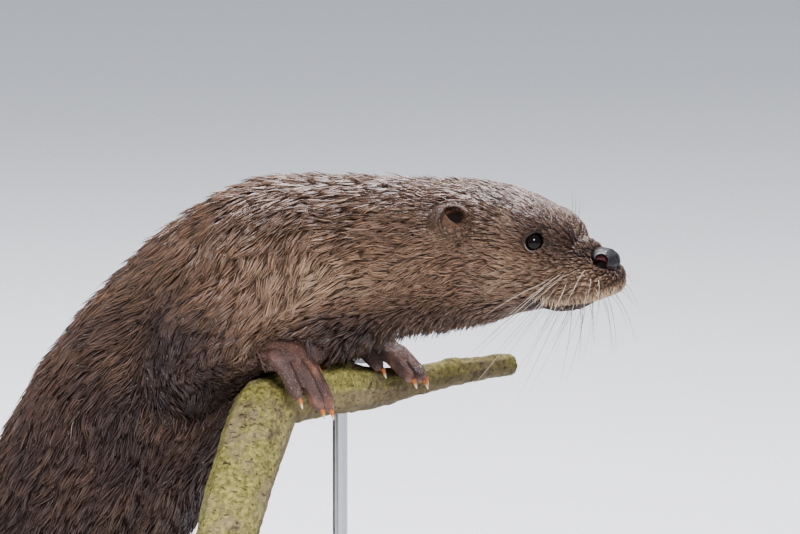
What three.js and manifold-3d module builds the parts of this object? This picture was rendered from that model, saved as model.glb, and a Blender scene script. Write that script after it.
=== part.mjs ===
// A male Eurasian otter, life size, hauled up with its forepaws over a forked branch. It squats on its
// hind feet on a flat display base, and two rods hold the branch.
//
// Millimetres. +X is forward, +Y the otter's left, +Z up. The origin is the middle of the base's
// underside. Inside the otter's own group, x is 0 at the right wrist's front, y is 0 on the midline and
// z is 0 at the level of the right forepaw's claw tips.
import * as THREE from "three";
import { mergeVertices } from "three/addons/utils/BufferGeometryUtils.js";
import Module from "manifold-3d";

const wasm = await Module();
wasm.setup();

// ---------------------------------------------------------------- driving sizes
const GAP = 0.35; // clearance left between neighbouring solids
const PERCH_RISE = 264; // level of the right claw tips above the base's top
const BASE = { length: 700, width: 330, thick: 18, corner: 40, centreX: -255, centreY: 0 };
const ROD_RADIUS = 4.5;
const HEAD_SEGMENTS = 22;
const TRUNK_SEGMENTS = 18;
const TAIL_SEGMENTS = 10;
const LIMB_SEGMENTS = 9;
const TOE_SEGMENTS = 5;
const EYE = { x: 154.7, side: 22.6, z: 107, radius: 6.1 };
const EAR = { x: 110.5, side: 42, z: 119.5, radius: 11.2, depth: 10, wall: 2.8 };
const NOSE = { x: 190, z: 94.2, length: 10, halfWidth: 12, halfHeight: 9.3 };
const NOSTRIL = { x: 192, side: 10.4, z: 93.3, radius: 3.3 };

const v3 = (x, y, z) => new THREE.Vector3(x, y, z);
const UP = v3(0, 0, 1);
const FLAT = -PERCH_RISE + GAP; // the level of the soles' flats

// ---------------------------------------------------------------- solids and booleans
// A solid for manifold-3d from a closed three.js geometry, facing out.
function solidOf(geometry) {
  const bare = geometry.index ? geometry.toNonIndexed() : geometry.clone();
  bare.deleteAttribute("normal");
  bare.deleteAttribute("uv");
  const merged = mergeVertices(bare, 1e-4);
  const make = (triVerts) => new wasm.Manifold(new wasm.Mesh({
    numProp: 3, vertProperties: merged.attributes.position.array, triVerts,
  }));
  const triVerts = new Uint32Array(merged.index.array);
  const solid = make(triVerts);
  return solid.volume() < 0 ? make(triVerts.reverse()) : solid;
}

function geometryOf(solid) {
  const mesh = solid.getMesh();
  const position = new Float32Array(mesh.numVert * 3);
  for (let i = 0; i < mesh.numVert; i++) {
    position.set(mesh.vertProperties.subarray(i * mesh.numProp, i * mesh.numProp + 3), i * 3);
  }
  return new THREE.BufferGeometry()
    .setAttribute("position", new THREE.BufferAttribute(position, 3))
    .setIndex(new THREE.BufferAttribute(mesh.triVerts, 1));
}

const joined = (...solids) => solids.reduce((all, solid) => all.add(solid));
const without = (solid, ...cutters) => cutters.reduce((left, cutter) => left.subtract(cutter), solid);
const mirrored = (solid) => solid.mirror([0, 1, 0]);

// The largest separate body of a solid, which drops the crumbs that a cut can leave.
function largest(solid) {
  return solid.decompose().reduce((a, b) => (b.volume() > a.volume() ? b : a));
}

// ---------------------------------------------------------------- lofts
// A closed geometry through rings of points, with a flat fan at each end.
function loft(rings) {
  const count = rings[0].length;
  const points = rings.flat();
  const faces = [];
  for (let i = 0; i + 1 < rings.length; i++) {
    for (let j = 0; j < count; j++) {
      const [a, b] = [i * count + j, i * count + ((j + 1) % count)];
      faces.push(a, b, a + count, b, b + count, a + count);
    }
  }
  for (const [ring, turned] of [[0, false], [rings.length - 1, true]]) {
    const middle = points.length;
    points.push(rings[ring].reduce((sum, p) => sum.add(p), v3(0, 0, 0)).divideScalar(count));
    for (let j = 0; j < count; j++) {
      const [a, b] = [ring * count + j, ring * count + ((j + 1) % count)];
      faces.push(...(turned ? [middle, a, b] : [middle, b, a]));
    }
  }
  return new THREE.BufferGeometry().setFromPoints(points).setIndex(faces);
}

// The radius of a rounded section at an angle: halfWidth sideways, halfDepth up and down, and a
// squareness of 2 for an ellipse and more for fuller corners.
function sectionRadius(angle, halfWidth, halfDepth, squareness) {
  const across = Math.abs(Math.cos(angle) / halfWidth) ** squareness;
  const along = Math.abs(Math.sin(angle) / halfDepth) ** squareness;
  return (across + along) ** (-1 / squareness);
}

// One ring of a section whose side and up axes are given.
function ring(centre, side, up, segments, radiusAt) {
  return Array.from({ length: segments }, (_, j) => {
    const angle = (2 * Math.PI * j) / segments;
    const out = side.clone().multiplyScalar(Math.cos(angle)).addScaledVector(up, Math.sin(angle));
    return { out, point: centre.clone().addScaledVector(out, radiusAt(angle)) };
  });
}

// A soft limb-like form along a curve: stations of [point, half width, half thickness], domed at both
// ends. The side axis is the direction that the width runs in.
function softTube(stations, sideHint, segments, steps, grow = 0) {
  const path = new THREE.CatmullRomCurve3(stations.map(([p]) => v3(...p)), false, "catmullrom");
  const sizes = new THREE.CatmullRomCurve3(
    stations.map(([, wide, thick]) => v3(wide + grow, (thick ?? wide) + grow, 0)), false, "catmullrom");
  const DOME = [[0.9, 0.4], [0.45, 0.86]]; // share of the radius past the end, and of its size
  const rings = [];
  const addRing = (t, past, shrink) => {
    const tangent = path.getTangent(t);
    const side = v3(...sideHint).addScaledVector(tangent, -v3(...sideHint).dot(tangent)).normalize();
    const up = new THREE.Vector3().crossVectors(side, tangent).normalize();
    const size = sizes.getPoint(t);
    const centre = path.getPoint(t).addScaledVector(tangent, past * Math.min(size.x, size.y));
    rings.push(ring(centre, side, up, segments,
      (angle) => shrink * sectionRadius(angle, size.x, size.y, 2.1)).map((r) => r.point));
  };
  DOME.forEach(([past, shrink]) => addRing(0, -past, shrink));
  for (let i = 0; i <= steps; i++) addRing(i / steps, 0, 1);
  [...DOME].reverse().forEach(([past, shrink]) => addRing(1, past, shrink));
  return loft(rings);
}

// ---------------------------------------------------------------- head, neck, trunk and tail
// Landmarks along the body from the lips to the tail's tip: the section's centre, and its full depth,
// width and squareness. Heights are from the right claw tips' level.
const BODY = [
  { name: "lips", x: 199, z: 84, depth: 7, width: 14, square: 2 },
  { name: "lip_front", x: 197, z: 84.3, depth: 16, width: 29, square: 2.1 },
  { name: "muzzle_front", x: 192.5, z: 85, depth: 23, width: 39, square: 2.2 },
  { name: "nose_back", x: 185.5, z: 86, depth: 31, width: 46, square: 2.3 },
  { name: "whisker_pads", x: 177, z: 86.3, depth: 38.5, width: 51, square: 2.4 },
  { name: "muzzle_root", x: 168, z: 87.3, depth: 46.5, width: 51, square: 2.7 },
  { name: "eyes", x: 159, z: 91, depth: 57, width: 54, square: 2.9 },
  { name: "brow", x: 148, z: 94, depth: 65, width: 65, square: 2.7 },
  { name: "forehead", x: 136, z: 96, depth: 73, width: 80, square: 2.5 },
  { name: "cheeks", x: 122, z: 96.8, depth: 79.5, width: 93, square: 2.4 },
  { name: "ears", x: 106, z: 96.5, depth: 84, width: 98, square: 2.3 },
  { name: "nape", x: 86, z: 94.7, depth: 88.3, width: 97, square: 2.2 },
  { name: "neck", x: 59, z: 92.4, depth: 92.8, width: 96, square: 2.1 },
  { name: "neck_root", x: 33, z: 89.3, depth: 99.5, width: 101, square: 2.1 },
  { name: "collar", x: 10, z: 83.8, depth: 112, width: 111, square: 2.1 },
  { name: "withers", x: -11, z: 77, depth: 123, width: 121, square: 2.1 },
  { name: "shoulder_blades", x: -34, z: 66.3, depth: 127, width: 128, square: 2.1 },
  { name: "chest", x: -60, z: 45, depth: 127, width: 132, square: 2.1 },
  { name: "ribs", x: -90, z: 15.5, depth: 129, width: 136, square: 2.1 },
  { name: "last_ribs", x: -118, z: -19, depth: 130, width: 138, square: 2.1 },
  { name: "belly", x: -141, z: -60, depth: 131, width: 139, square: 2.1 },
  { name: "loins", x: -167, z: -105, depth: 131, width: 139, square: 2.1 },
  { name: "hips", x: -197, z: -150, depth: 127, width: 136, square: 2.1 },
  { name: "haunches", x: -232, z: -186.5, depth: 121, width: 129, square: 2.1 },
  { name: "rump", x: -270, z: -211.5, depth: 103, width: 110, square: 2.1 },
  { name: "tail_root", x: -312, z: -227, depth: 75, width: 80, square: 2 },
  { name: "tail_1", x: -354, y: 2, z: -236.5, depth: 56, width: 60, square: 2 },
  { name: "tail_2", x: -399, y: 8, z: -241, depth: 47, width: 50, square: 2 },
  { name: "tail_3", x: -443, y: 20, z: -244.7, depth: 39.5, width: 42, square: 2 },
  { name: "tail_4", x: -485, y: 38, z: -248.2, depth: 32.5, width: 35, square: 2 },
  { name: "tail_5", x: -524, y: 61, z: -251.7, depth: 25.5, width: 27, square: 2 },
  { name: "tail_6", x: -556, y: 88, z: -255.2, depth: 18.5, width: 20, square: 2 },
  { name: "tail_tip", x: -580, y: 117, z: -259, depth: 10.5, width: 11, square: 2 },
];
const bodyPath = new THREE.CatmullRomCurve3(
  BODY.map(({ x, y = 0, z }) => v3(x, y, z)), false, "catmullrom");
const bodySize = new THREE.CatmullRomCurve3(
  BODY.map(({ depth, width, square }) => v3(width / 2, depth / 2, square)), false, "catmullrom");
const landmark = (name) => BODY.findIndex((station) => station.name === name) / (BODY.length - 1);

// Forms that swell out of the plain sections, or sink into them: where, how far they reach, and by how
// much. A side of 0 is on the midline and any other is made on both sides.
const SWELLS = [
  { name: "whisker pad", x: 186, side: 18, z: 81, reach: 11, push: 3 },
  { name: "lip edge", x: 174, side: 23, z: 74, reach: 9, push: 2.4 },
  { name: "side of the nose", x: 192, side: 14, z: 96, reach: 8, push: -5 },
  { name: "eye hollow", x: 158, side: 26, z: 105, reach: 9, push: -2.6 },
  { name: "brow ridge", x: 160, side: 22, z: 114, reach: 8, push: 3 },
  { name: "cheek", x: 124, side: 44, z: 86, reach: 22, push: 3 },
  { name: "chin", x: 168, side: 0, z: 64, reach: 9, push: 1.4 },
  { name: "shoulder muscle", x: -22, side: 58, z: 84, reach: 34, push: 7 },
  { name: "breast", x: 4, side: 0, z: 28, reach: 26, push: 3 },
];

// The point of the body's surface that a plain section's point moves to.
function swollen(point, out, grow) {
  const moved = point.clone().addScaledVector(out, grow);
  for (const { x, side, z, reach, push } of SWELLS) {
    for (const y of side ? [side, -side] : [0]) {
      const near = Math.exp(-(point.distanceToSquared(v3(x, y, z)) / reach ** 2));
      moved.addScaledVector(out, push * near);
    }
  }
  return moved;
}

function bodyRing(t, segments, grow, shift) {
  const tangent = bodyPath.getTangent(t);
  const side = new THREE.Vector3().crossVectors(tangent, UP).normalize();
  const up = new THREE.Vector3().crossVectors(side, tangent).normalize();
  const size = bodySize.getPoint(t);
  return ring(bodyPath.getPoint(t), side, up, segments,
    (angle) => sectionRadius(angle, size.x, size.y, size.z))
    .map(({ out, point }) => swollen(point, out, grow).addScaledVector(tangent, shift));
}

// The stretch of body from one share of its length to another. Where it meets a neighbour, its end
// ring stands back by half the gap.
function bodyStretch(from, to, steps, segments, grow = 0) {
  const rings = [];
  for (let i = 0; i <= steps; i++) {
    const shift = i === 0 && from > 0 ? GAP / 2 : i === steps && to < 1 ? -GAP / 2 : 0;
    rings.push(bodyRing(from + ((to - from) * i) / steps, segments, grow, grow ? 0 : shift));
  }
  return solidOf(loft(rings));
}

// The stretches that are solids of their own: where each one ends, its rings and its segments.
const STRETCHES = [
  { name: "head", to: "nape", steps: 18, segments: HEAD_SEGMENTS },
  { name: "neck", to: "collar", steps: 4, segments: TRUNK_SEGMENTS },
  { name: "chest", to: "last_ribs", steps: 6, segments: TRUNK_SEGMENTS },
  { name: "abdomen", to: "hips", steps: 4, segments: TRUNK_SEGMENTS },
  { name: "rump", to: "tail_root", steps: 4, segments: TRUNK_SEGMENTS },
  { name: "tail_base", to: "tail_2", steps: 4, segments: TAIL_SEGMENTS },
  { name: "tail_mid", to: "tail_4", steps: 5, segments: TAIL_SEGMENTS },
  { name: "tail_tip", to: "tail_tip", steps: 6, segments: TAIL_SEGMENTS },
];

// Each stretch as a solid, under its name, swollen all over by grow.
function stretches(grow = 0) {
  const solids = {};
  let from = 0;
  for (const { name, to, steps, segments } of STRETCHES) {
    solids[name] = bodyStretch(from, landmark(to), steps, segments, grow);
    from = landmark(to);
  }
  return solids;
}

const body = stretches();
const grownBody = stretches(GAP);
const headCutter = grownBody.head;
const bodyCutter = joined(...Object.values(grownBody));

// ---------------------------------------------------------------- face
const onBothSides = (make) => [make(-1), make(1)];

const ball = (x, y, z, radius, wide = 10, high = 7) =>
  solidOf(new THREE.SphereGeometry(radius, wide, high).translate(x, y, z));

function nosePad() {
  const pad = new THREE.SphereGeometry(1, 12, 8)
    .scale(NOSE.length, NOSE.halfWidth, NOSE.halfHeight)
    .rotateY(THREE.MathUtils.degToRad(28))
    .translate(NOSE.x, 0, NOSE.z);
  const nostrils = onBothSides((side) => solidOf(new THREE.SphereGeometry(NOSTRIL.radius, 8, 6)
    .scale(1.5, 1, 1)
    .rotateZ(side * 0.9)
    .translate(NOSTRIL.x, side * NOSTRIL.side, NOSTRIL.z)));
  return largest(without(solidOf(pad), headCutter, ...nostrils));
}

// A cup whose mouth looks outwards and forwards, with its root left to the head.
function ear() {
  const { radius, depth, wall } = EAR;
  const profile = [[0, -depth], [radius * 0.62, -depth * 0.86], [radius * 0.95, -depth * 0.4],
    [radius, 0], [radius - wall * 0.5, wall * 0.4], [radius - wall, 0],
    [(radius - wall) * 0.8, -depth * 0.45], [0, -depth + wall * 1.2]];
  const cup = new THREE.LatheGeometry(profile.map(([r, h]) => new THREE.Vector2(r, h)), 12)
    .scale(1.0, 1, 0.86)
    .rotateZ(THREE.MathUtils.degToRad(-22))
    .rotateX(THREE.MathUtils.degToRad(68))
    .rotateY(THREE.MathUtils.degToRad(14));
  return largest(without(solidOf(cup.translate(EAR.x, -EAR.side, EAR.z)).mirror([0, 1, 0]), headCutter));
}

// The mouth's line and the jaw's rear edge, seen from the side, as a thin band across the head.
function jawCut() {
  const line = [[215, 84], [194, 75.6], [184, 72.6], [168, 71.4], [153, 75], [140, 68], [130, 40]];
  const outline = [...line, ...line.map(([x, z]) => [x - GAP * 0.3, z - GAP]).reverse()];
  const band = new THREE.Shape(outline.map(([x, z]) => new THREE.Vector2(x, z)));
  return solidOf(new THREE.ExtrudeGeometry(band, { depth: 140, bevelEnabled: false })
    .translate(0, 0, -70).rotateX(Math.PI / 2));
}

const eyes = (grow) => onBothSides((side) => ball(EYE.x, side * EYE.side, EYE.z, EYE.radius + grow));

function headAndJaw() {
  const whole = without(body.head, ...eyes(GAP), jawCut());
  const [head, jaw] = whole.decompose().sort((a, b) => b.volume() - a.volume());
  return { head, jaw };
}

// ---------------------------------------------------------------- branch
// One arm comes up from below on the right, and the other runs out to the left from its top. Stations
// are a centre and a radius.
const BRANCH_ARMS = {
  near: [[[-10, -44, 1], 19.5], [[-11, -54, -12], 20.3], [[-14, -74, -43], 19.5], [[-15, -90, -70], 19],
    [[-17, -105, -97], 19]],
  far: [[[0, -30, 8], 18], [[17, 5, 8.5], 16.5], [[26.5, 30, 4.5], 13.3], [[34, 58, 4], 10.6],
    [[46, 92, 5.5], 8.7], [[58, 124, 6], 7.8], [[68, 150, 5], 7.2]],
};

// An arm of the branch, with its free end sawn square.
function branchArm(name, grow = 0) {
  const stations = BRANCH_ARMS[name];
  const [[end], [before]] = [stations.at(-1), stations.at(-2)];
  const along = v3(...end).sub(v3(...before)).normalize();
  const saw = new THREE.BoxGeometry(60, 60, 60).translate(0, 0, 30 + grow)
    .applyQuaternion(new THREE.Quaternion().setFromUnitVectors(UP, along)).translate(...end);
  return without(solidOf(softTube(stations, [1, 0, 0], LIMB_SEGMENTS, 7, grow)), solidOf(saw));
}

const BRANCH_POINTS = Object.values(BRANCH_ARMS).flatMap((arm) => {
  const path = new THREE.CatmullRomCurve3(arm.map(([p]) => v3(...p)), false, "catmullrom");
  const radii = new THREE.CatmullRomCurve3(arm.map(([, r]) => v3(r, 0, 0)), false, "catmullrom");
  return Array.from({ length: 41 }, (_, i) => [path.getPoint(i / 40), radii.getPoint(i / 40).x]);
});

// The point, moved out of the branch or up from the base until it has this much room.
function clearOf(point, room) {
  const nearest = BRANCH_POINTS.reduce((best, [centre, radius]) => {
    const space = point.distanceTo(centre) - radius;
    return space < best.space ? { space, centre } : best;
  }, { space: Infinity });
  const moved = point.clone();
  if (nearest.space < room) {
    moved.addScaledVector(point.clone().sub(nearest.centre).normalize(), room - nearest.space);
  }
  moved.z = Math.max(moved.z, FLAT + room);
  return moved;
}

// ---------------------------------------------------------------- forelimbs
// The right side's joints. The left limb has its own paw places, and the same upper arm mirrored.
const SHOULDER = [-16, -44, 72];
const ELBOW = [-51, -62, 25];
const ARM_MIDDLE = [-41, -57, 46];
const FOREPAWS = {
  right: { wrist: [-17, -45, 35], knuckle: [9, -43.5, 34], tip: [29.5, -42, 5], side: [0.1, -1, 0] },
  left: { wrist: [6, 38, 31], knuckle: [27, 41, 27.5], tip: [52, 44, 11.5], side: [-0.12, 1, 0] },
};
// Toes from the inner, first one to the outer, fifth one: how far along the paw each root stands back,
// and its length as a share of the third's.
const FORE_TOES = { back: [9, 2, 0, 1.5, 7], share: [0.55, 0.92, 1, 0.95, 0.7], pitch: 8.6, fan: 1.3,
  thick: 5.2 };
const HIND_TOES = { back: [11, 3, 0, 1, 6], share: [0.66, 0.9, 1, 0.98, 0.84], pitch: 9.6, fan: 4.2,
  thick: 5.4 };

function upperArm(grow = 0) {
  return solidOf(softTube(
    [[SHOULDER, 29, 25], [ARM_MIDDLE, 30, 25], [ELBOW, 20, 18]],
    [1, 0.2, 0], LIMB_SEGMENTS, 3, grow));
}

function forearm(elbow, wrist, grow = 0) {
  const middle = elbow.map((value, i) => value + (wrist[i] - value) * 0.5 + [0, -1, 1][i]);
  return solidOf(softTube([[elbow, 20, 18], [middle, 17.5, 15], [wrist, 13.5, 11]],
    [0, 1, 0], LIMB_SEGMENTS, 3, grow));
}

// A paw is a flat palm, five toes that bend over their middle joint, and a claw on each toe.
function paw({ wrist, knuckle, tip, side }, toes, palm) {
  const [wristAt, root, end] = [v3(...wrist), v3(...knuckle), v3(...tip)];
  const outward = v3(...side).normalize();
  const reach = end.clone().sub(root);
  const forward = root.clone().sub(wristAt).normalize();
  const above = new THREE.Vector3().crossVectors(outward, forward).normalize();
  if (above.z < 0) above.negate();
  const claws = [];
  let flesh = solidOf(softTube(
    [[wrist, ...palm.wrist], [wristAt.clone().lerp(root, 0.55).toArray(), ...palm.middle],
      [knuckle, ...palm.knuckle]], side, LIMB_SEGMENTS, 2));
  for (let i = 0; i < 5; i++) {
    const across = (i - 2) * toes.pitch;
    const from = root.clone().addScaledVector(outward, across).addScaledVector(forward, -toes.back[i]);
    const to = clearOf(from.clone().addScaledVector(reach, toes.share[i])
      .addScaledVector(outward, (i - 2) * toes.fan), toes.thick * 0.7);
    const bend = clearOf(from.clone().lerp(to, 0.5).addScaledVector(above, palm.bend * toes.share[i]),
      toes.thick * 0.9);
    flesh = flesh.add(solidOf(softTube(
      [[from.toArray(), toes.thick], [bend.toArray(), toes.thick * 0.96], [to.toArray(), toes.thick * 0.84]],
      side, TOE_SEGMENTS, 2)));
    claws.push(claw(bend, to, above, toes.thick));
  }
  return { flesh: without(flesh, ...claws), claws };
}

// A short curved claw that comes out of the upper front of a toe's tip and bends down.
function claw(bend, tip, above, thick) {
  const along = tip.clone().sub(bend).normalize();
  const down = above.clone().multiplyScalar(-1);
  const at = (forward, drop) => clearOf(tip.clone().addScaledVector(along, thick * forward)
    .addScaledVector(down, thick * drop).addScaledVector(above, thick * 0.32), thick * 0.5);
  const path = new THREE.CatmullRomCurve3([at(0.95, 0.05), at(1.4, 0.2), at(1.9, 0.7)]);
  const side = new THREE.Vector3().crossVectors(along, above).normalize();
  const rings = [0, 0.5, 1].map((t, i) => {
    const tangent = path.getTangent(t);
    const up = new THREE.Vector3().crossVectors(side, tangent).normalize();
    const radius = thick * [0.44, 0.35, 0.08][i];
    return ring(path.getPoint(t), side, up, 5,
      (angle) => sectionRadius(angle, radius * 0.8, radius, 2)).map((r) => r.point);
  });
  return solidOf(loft(rings));
}

// ---------------------------------------------------------------- hind limbs
const HIP = [-228, -46, -172];
const THIGH_MIDDLE = [-205, -60, -174];
const KNEE = [-176, -70, -176];
const HOCK = [-240, -67, -241];
const HIND_PAWS = {
  right: { wrist: [-242, -67, -247], knuckle: [-186, -73, -251.5], tip: [-152, -76, -257.5],
    side: [-0.06, -1, 0] },
  left: { wrist: [-242, 67, -247], knuckle: [-186, 73, -251.5], tip: [-152, 76, -257.5],
    side: [-0.06, 1, 0] },
};

function thigh(grow = 0) {
  return solidOf(softTube(
    [[HIP, 50, 32], [THIGH_MIDDLE, 48, 30], [KNEE, 30, 23]],
    [0.2, 0, 1], LIMB_SEGMENTS, 3, grow));
}

function shank(grow = 0) {
  return solidOf(softTube(
    [[KNEE, 27, 21], [[-209, -69, -210], 25, 19], [HOCK, 17, 14]], [0, 1, 0], LIMB_SEGMENTS, 3, grow));
}

// ---------------------------------------------------------------- stand
function standBase() {
  const { length, width, thick, corner } = BASE;
  const [x, y] = [length / 2, width / 2];
  const board = new THREE.Shape()
    .moveTo(-x + corner, -y).lineTo(x - corner, -y)
    .absarc(x - corner, -y + corner, corner, -Math.PI / 2, 0)
    .lineTo(x, y - corner).absarc(x - corner, y - corner, corner, 0, Math.PI / 2)
    .lineTo(-x + corner, y).absarc(-x + corner, y - corner, corner, Math.PI / 2, Math.PI)
    .lineTo(-x, -y + corner).absarc(-x + corner, -y + corner, corner, Math.PI, 1.5 * Math.PI);
  return new THREE.ExtrudeGeometry(board, { depth: thick, bevelEnabled: false, curveSegments: 4 });
}

// A rod from the base up to an arm of the branch, at a place given from above.
function standRod(x, y, branchCutter) {
  const rod = new THREE.CylinderGeometry(ROD_RADIUS, ROD_RADIUS, PERCH_RISE - GAP, 16)
    .rotateX(Math.PI / 2)
    .translate(x, y, (GAP - PERCH_RISE) / 2);
  const pieces = without(solidOf(rod), branchCutter).decompose();
  return pieces.reduce((a, b) => (b.boundingBox().min[2] < a.boundingBox().min[2] ? b : a));
}

// ---------------------------------------------------------------- the whole
const underFlats = solidOf(new THREE.BoxGeometry(900, 600, 60).translate(-200, 0, FLAT - 30));
const PALM = { wrist: [14, 11], middle: [19, 11], knuckle: [21, 8.5], bend: 4 };
const SOLE = { wrist: [15, 12], middle: [20, 12], knuckle: [24, 8.5], bend: 3 };

const fur = (hex) => new THREE.MeshStandardMaterial({ color: hex, roughness: 0.75, metalness: 0 });
const MATERIALS = {
  dark_fur: fur(0x4a3024),
  pale_fur: fur(0x9a7350),
  bare_skin: new THREE.MeshStandardMaterial({ color: 0x4b3234, roughness: 0.5, metalness: 0 }),
  nose_leather: new THREE.MeshStandardMaterial({ color: 0x2a2526, roughness: 0.3, metalness: 0 }),
  claw_horn: new THREE.MeshStandardMaterial({ color: 0xb4743c, roughness: 0.35, metalness: 0 }),
  eyeball: new THREE.MeshStandardMaterial({ color: 0x0c0a0b, roughness: 0.05, metalness: 0 }),
  bark: new THREE.MeshStandardMaterial({ color: 0x5a5238, roughness: 0.9, metalness: 0 }),
  board: new THREE.MeshStandardMaterial({ color: 0x2b2724, roughness: 0.45, metalness: 0 }),
  rod_steel: new THREE.MeshStandardMaterial({ color: 0x8b8d90, roughness: 0.35, metalness: 1 }),
};

const display = new THREE.Group();
const otter = new THREE.Group();
otter.position.set(-BASE.centreX, -BASE.centreY, BASE.thick + PERCH_RISE);
display.add(otter);

function add(group, name, solid, material) {
  const mesh = new THREE.Mesh(geometryOf(solid), MATERIALS[material]);
  mesh.name = name;
  group.add(mesh);
}

const addCut = (name, solid, cutters, material) => {
  add(otter, name, largest(without(solid, ...cutters)), material);
};

const nearCutter = branchArm("near", GAP);
const farCutter = branchArm("far", GAP);
const perchCutter = joined(nearCutter, farCutter);
const { head, jaw } = headAndJaw();
add(otter, "head", head, "dark_fur");
add(otter, "lower_jaw", jaw, "pale_fur");
add(otter, "nose_pad", nosePad(), "nose_leather");
for (const { name } of STRETCHES.slice(1)) {
  add(otter, name, without(body[name], underFlats, perchCutter), "dark_fur");
}

const FINGERS = ["first", "second", "third", "fourth", "fifth"];
for (const [name, isLeft] of [["right", false], ["left", true]]) {
  const place = (solid) => (isLeft ? mirrored(solid) : solid);
  const eye = eyes(0)[isLeft ? 1 : 0];
  add(otter, `eye_${name}`, eye, "eyeball");
  add(otter, `ear_${name}`, isLeft ? ear() : mirrored(ear()), "dark_fur");

  const { wrist } = FOREPAWS[name];
  const elbow = [ELBOW[0], isLeft ? -ELBOW[1] : ELBOW[1], ELBOW[2]];
  const upperCutters = [bodyCutter, perchCutter];
  const forearmCutters = [...upperCutters, place(upperArm(GAP))];
  const forepawCutters = [...forearmCutters, forearm(elbow, wrist, GAP)];
  const hand = paw(FOREPAWS[name], FORE_TOES, PALM);
  addCut(`upper_arm_${name}`, place(upperArm()), upperCutters, "dark_fur");
  addCut(`forearm_${name}`, forearm(elbow, wrist), forearmCutters, "dark_fur");
  addCut(`forepaw_${name}`, hand.flesh, forepawCutters, "bare_skin");
  hand.claws.forEach((solid, i) => {
    addCut(`foreclaw_${name}_${FINGERS[i]}`, solid, forepawCutters, "claw_horn");
  });

  const thighCutters = [bodyCutter];
  const shankCutters = [...thighCutters, place(thigh(GAP)), underFlats];
  const footCutters = [...shankCutters, place(shank(GAP))];
  const foot = paw(HIND_PAWS[name], HIND_TOES, SOLE);
  addCut(`thigh_${name}`, place(thigh()), thighCutters, "dark_fur");
  addCut(`shank_${name}`, place(shank()), shankCutters, "dark_fur");
  addCut(`hind_foot_${name}`, foot.flesh, footCutters, "bare_skin");
  foot.claws.forEach((solid, i) => {
    addCut(`hindclaw_${name}_${FINGERS[i]}`, solid, footCutters, "claw_horn");
  });
}

add(otter, "perch_near_arm", branchArm("near"), "bark");
add(otter, "perch_far_arm", largest(without(branchArm("far"), nearCutter)), "bark");
add(otter, "stand_rod_near", standRod(-17, -103, perchCutter), "rod_steel");
add(otter, "stand_rod_far", standRod(17, 6, perchCutter), "rod_steel");
add(display, "stand_base", solidOf(standBase()), "board");

export default display;
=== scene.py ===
"""A life-size Eurasian otter with its forepaws over a branch, on a plain display stand."""

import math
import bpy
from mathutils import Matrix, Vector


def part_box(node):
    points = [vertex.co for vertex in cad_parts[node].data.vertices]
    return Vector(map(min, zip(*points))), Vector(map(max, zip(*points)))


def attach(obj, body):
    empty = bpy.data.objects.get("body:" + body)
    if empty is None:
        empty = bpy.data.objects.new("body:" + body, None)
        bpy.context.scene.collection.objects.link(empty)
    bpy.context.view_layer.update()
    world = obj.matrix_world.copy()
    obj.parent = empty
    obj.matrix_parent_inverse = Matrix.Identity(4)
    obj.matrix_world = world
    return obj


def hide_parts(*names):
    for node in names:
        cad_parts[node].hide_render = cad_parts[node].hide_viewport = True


bl_info = {
    "name": "Otter on a Branch",
    "version": (1, 0, 0),
    "blender": (4, 5, 0),
    "location": "View3D > Sidebar > Otter",
    "description": "Dresses a life-size otter, its branch and its display stand",
    "category": "Object",
}

import bmesh
import bpy
import numpy as np
from bpy.props import FloatProperty, FloatVectorProperty, IntProperty, PointerProperty
from bpy.types import Operator, Panel, PropertyGroup
from mathutils import Matrix, Vector, noise
from mathutils.bvhtree import BVHTree
from mathutils.kdtree import KDTree

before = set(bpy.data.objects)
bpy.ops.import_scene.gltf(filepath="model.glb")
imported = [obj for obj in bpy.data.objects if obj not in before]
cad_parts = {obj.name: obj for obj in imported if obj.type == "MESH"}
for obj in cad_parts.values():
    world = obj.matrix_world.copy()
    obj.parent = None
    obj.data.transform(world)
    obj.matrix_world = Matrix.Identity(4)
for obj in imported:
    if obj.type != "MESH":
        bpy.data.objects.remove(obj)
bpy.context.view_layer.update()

MM = 0.001
# Landmarks are given in millimetres from this point, which is under the otter's chin, between its
# forepaws: x forwards, y to its left and z up.
LANDMARKS_AT = Vector((0.255, 0.0, 0.282))
SIDES = (("right", -1), ("left", 1))

FURRED = ("head", "lower_jaw", "ear_right", "ear_left", "neck", "chest", "abdomen", "rump",
          "tail_base", "tail_mid", "tail_tip", "upper_arm_right", "upper_arm_left", "forearm_right",
          "forearm_left", "thigh_right", "thigh_left", "shank_right", "shank_left")
FEET = ("forepaw_right", "forepaw_left", "hind_foot_right", "hind_foot_left")
FLESH = FURRED + FEET

# The middle of the body from the lips to the tail's tip.
BODY_LINE = ((203, 0, 84), (168, 0, 88), (136, 0, 96), (106, 0, 96), (59, 0, 92), (10, 0, 84), (-34, 0, 66),
             (-90, 0, 15), (-141, 0, -60), (-197, 0, -150), (-270, 0, -211), (-354, 2, -236),
             (-443, 20, -245), (-524, 61, -252), (-584, 122, -260))
EYE = {"x": 154.7, "side": 22.6, "z": 107.0, "radius": 6.1}
EYE_LOOK = (0.42, 0.9, 0.1)  # which way each eye looks, outwards from the midline


def mark(x, y, z):
    """A landmark as a point in the model, in metres."""
    return LANDMARKS_AT + Vector((x, y, z)) * MM


def to_marks(points):
    """An array of points in metres as landmarks, in millimetres."""
    return (points - np.array(LANDMARKS_AT)) / MM


def unit(vectors):
    """Each row of an array, made one long."""
    return vectors / np.maximum(np.linalg.norm(vectors, axis=-1, keepdims=True), 1e-9)


def smooth_step(low, high, value):
    """0 below low, 1 above high, and an S-shaped rise between them."""
    t = np.clip((value - low) / (high - low), 0.0, 1.0)
    return t * t * (3.0 - 2.0 * t)


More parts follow.
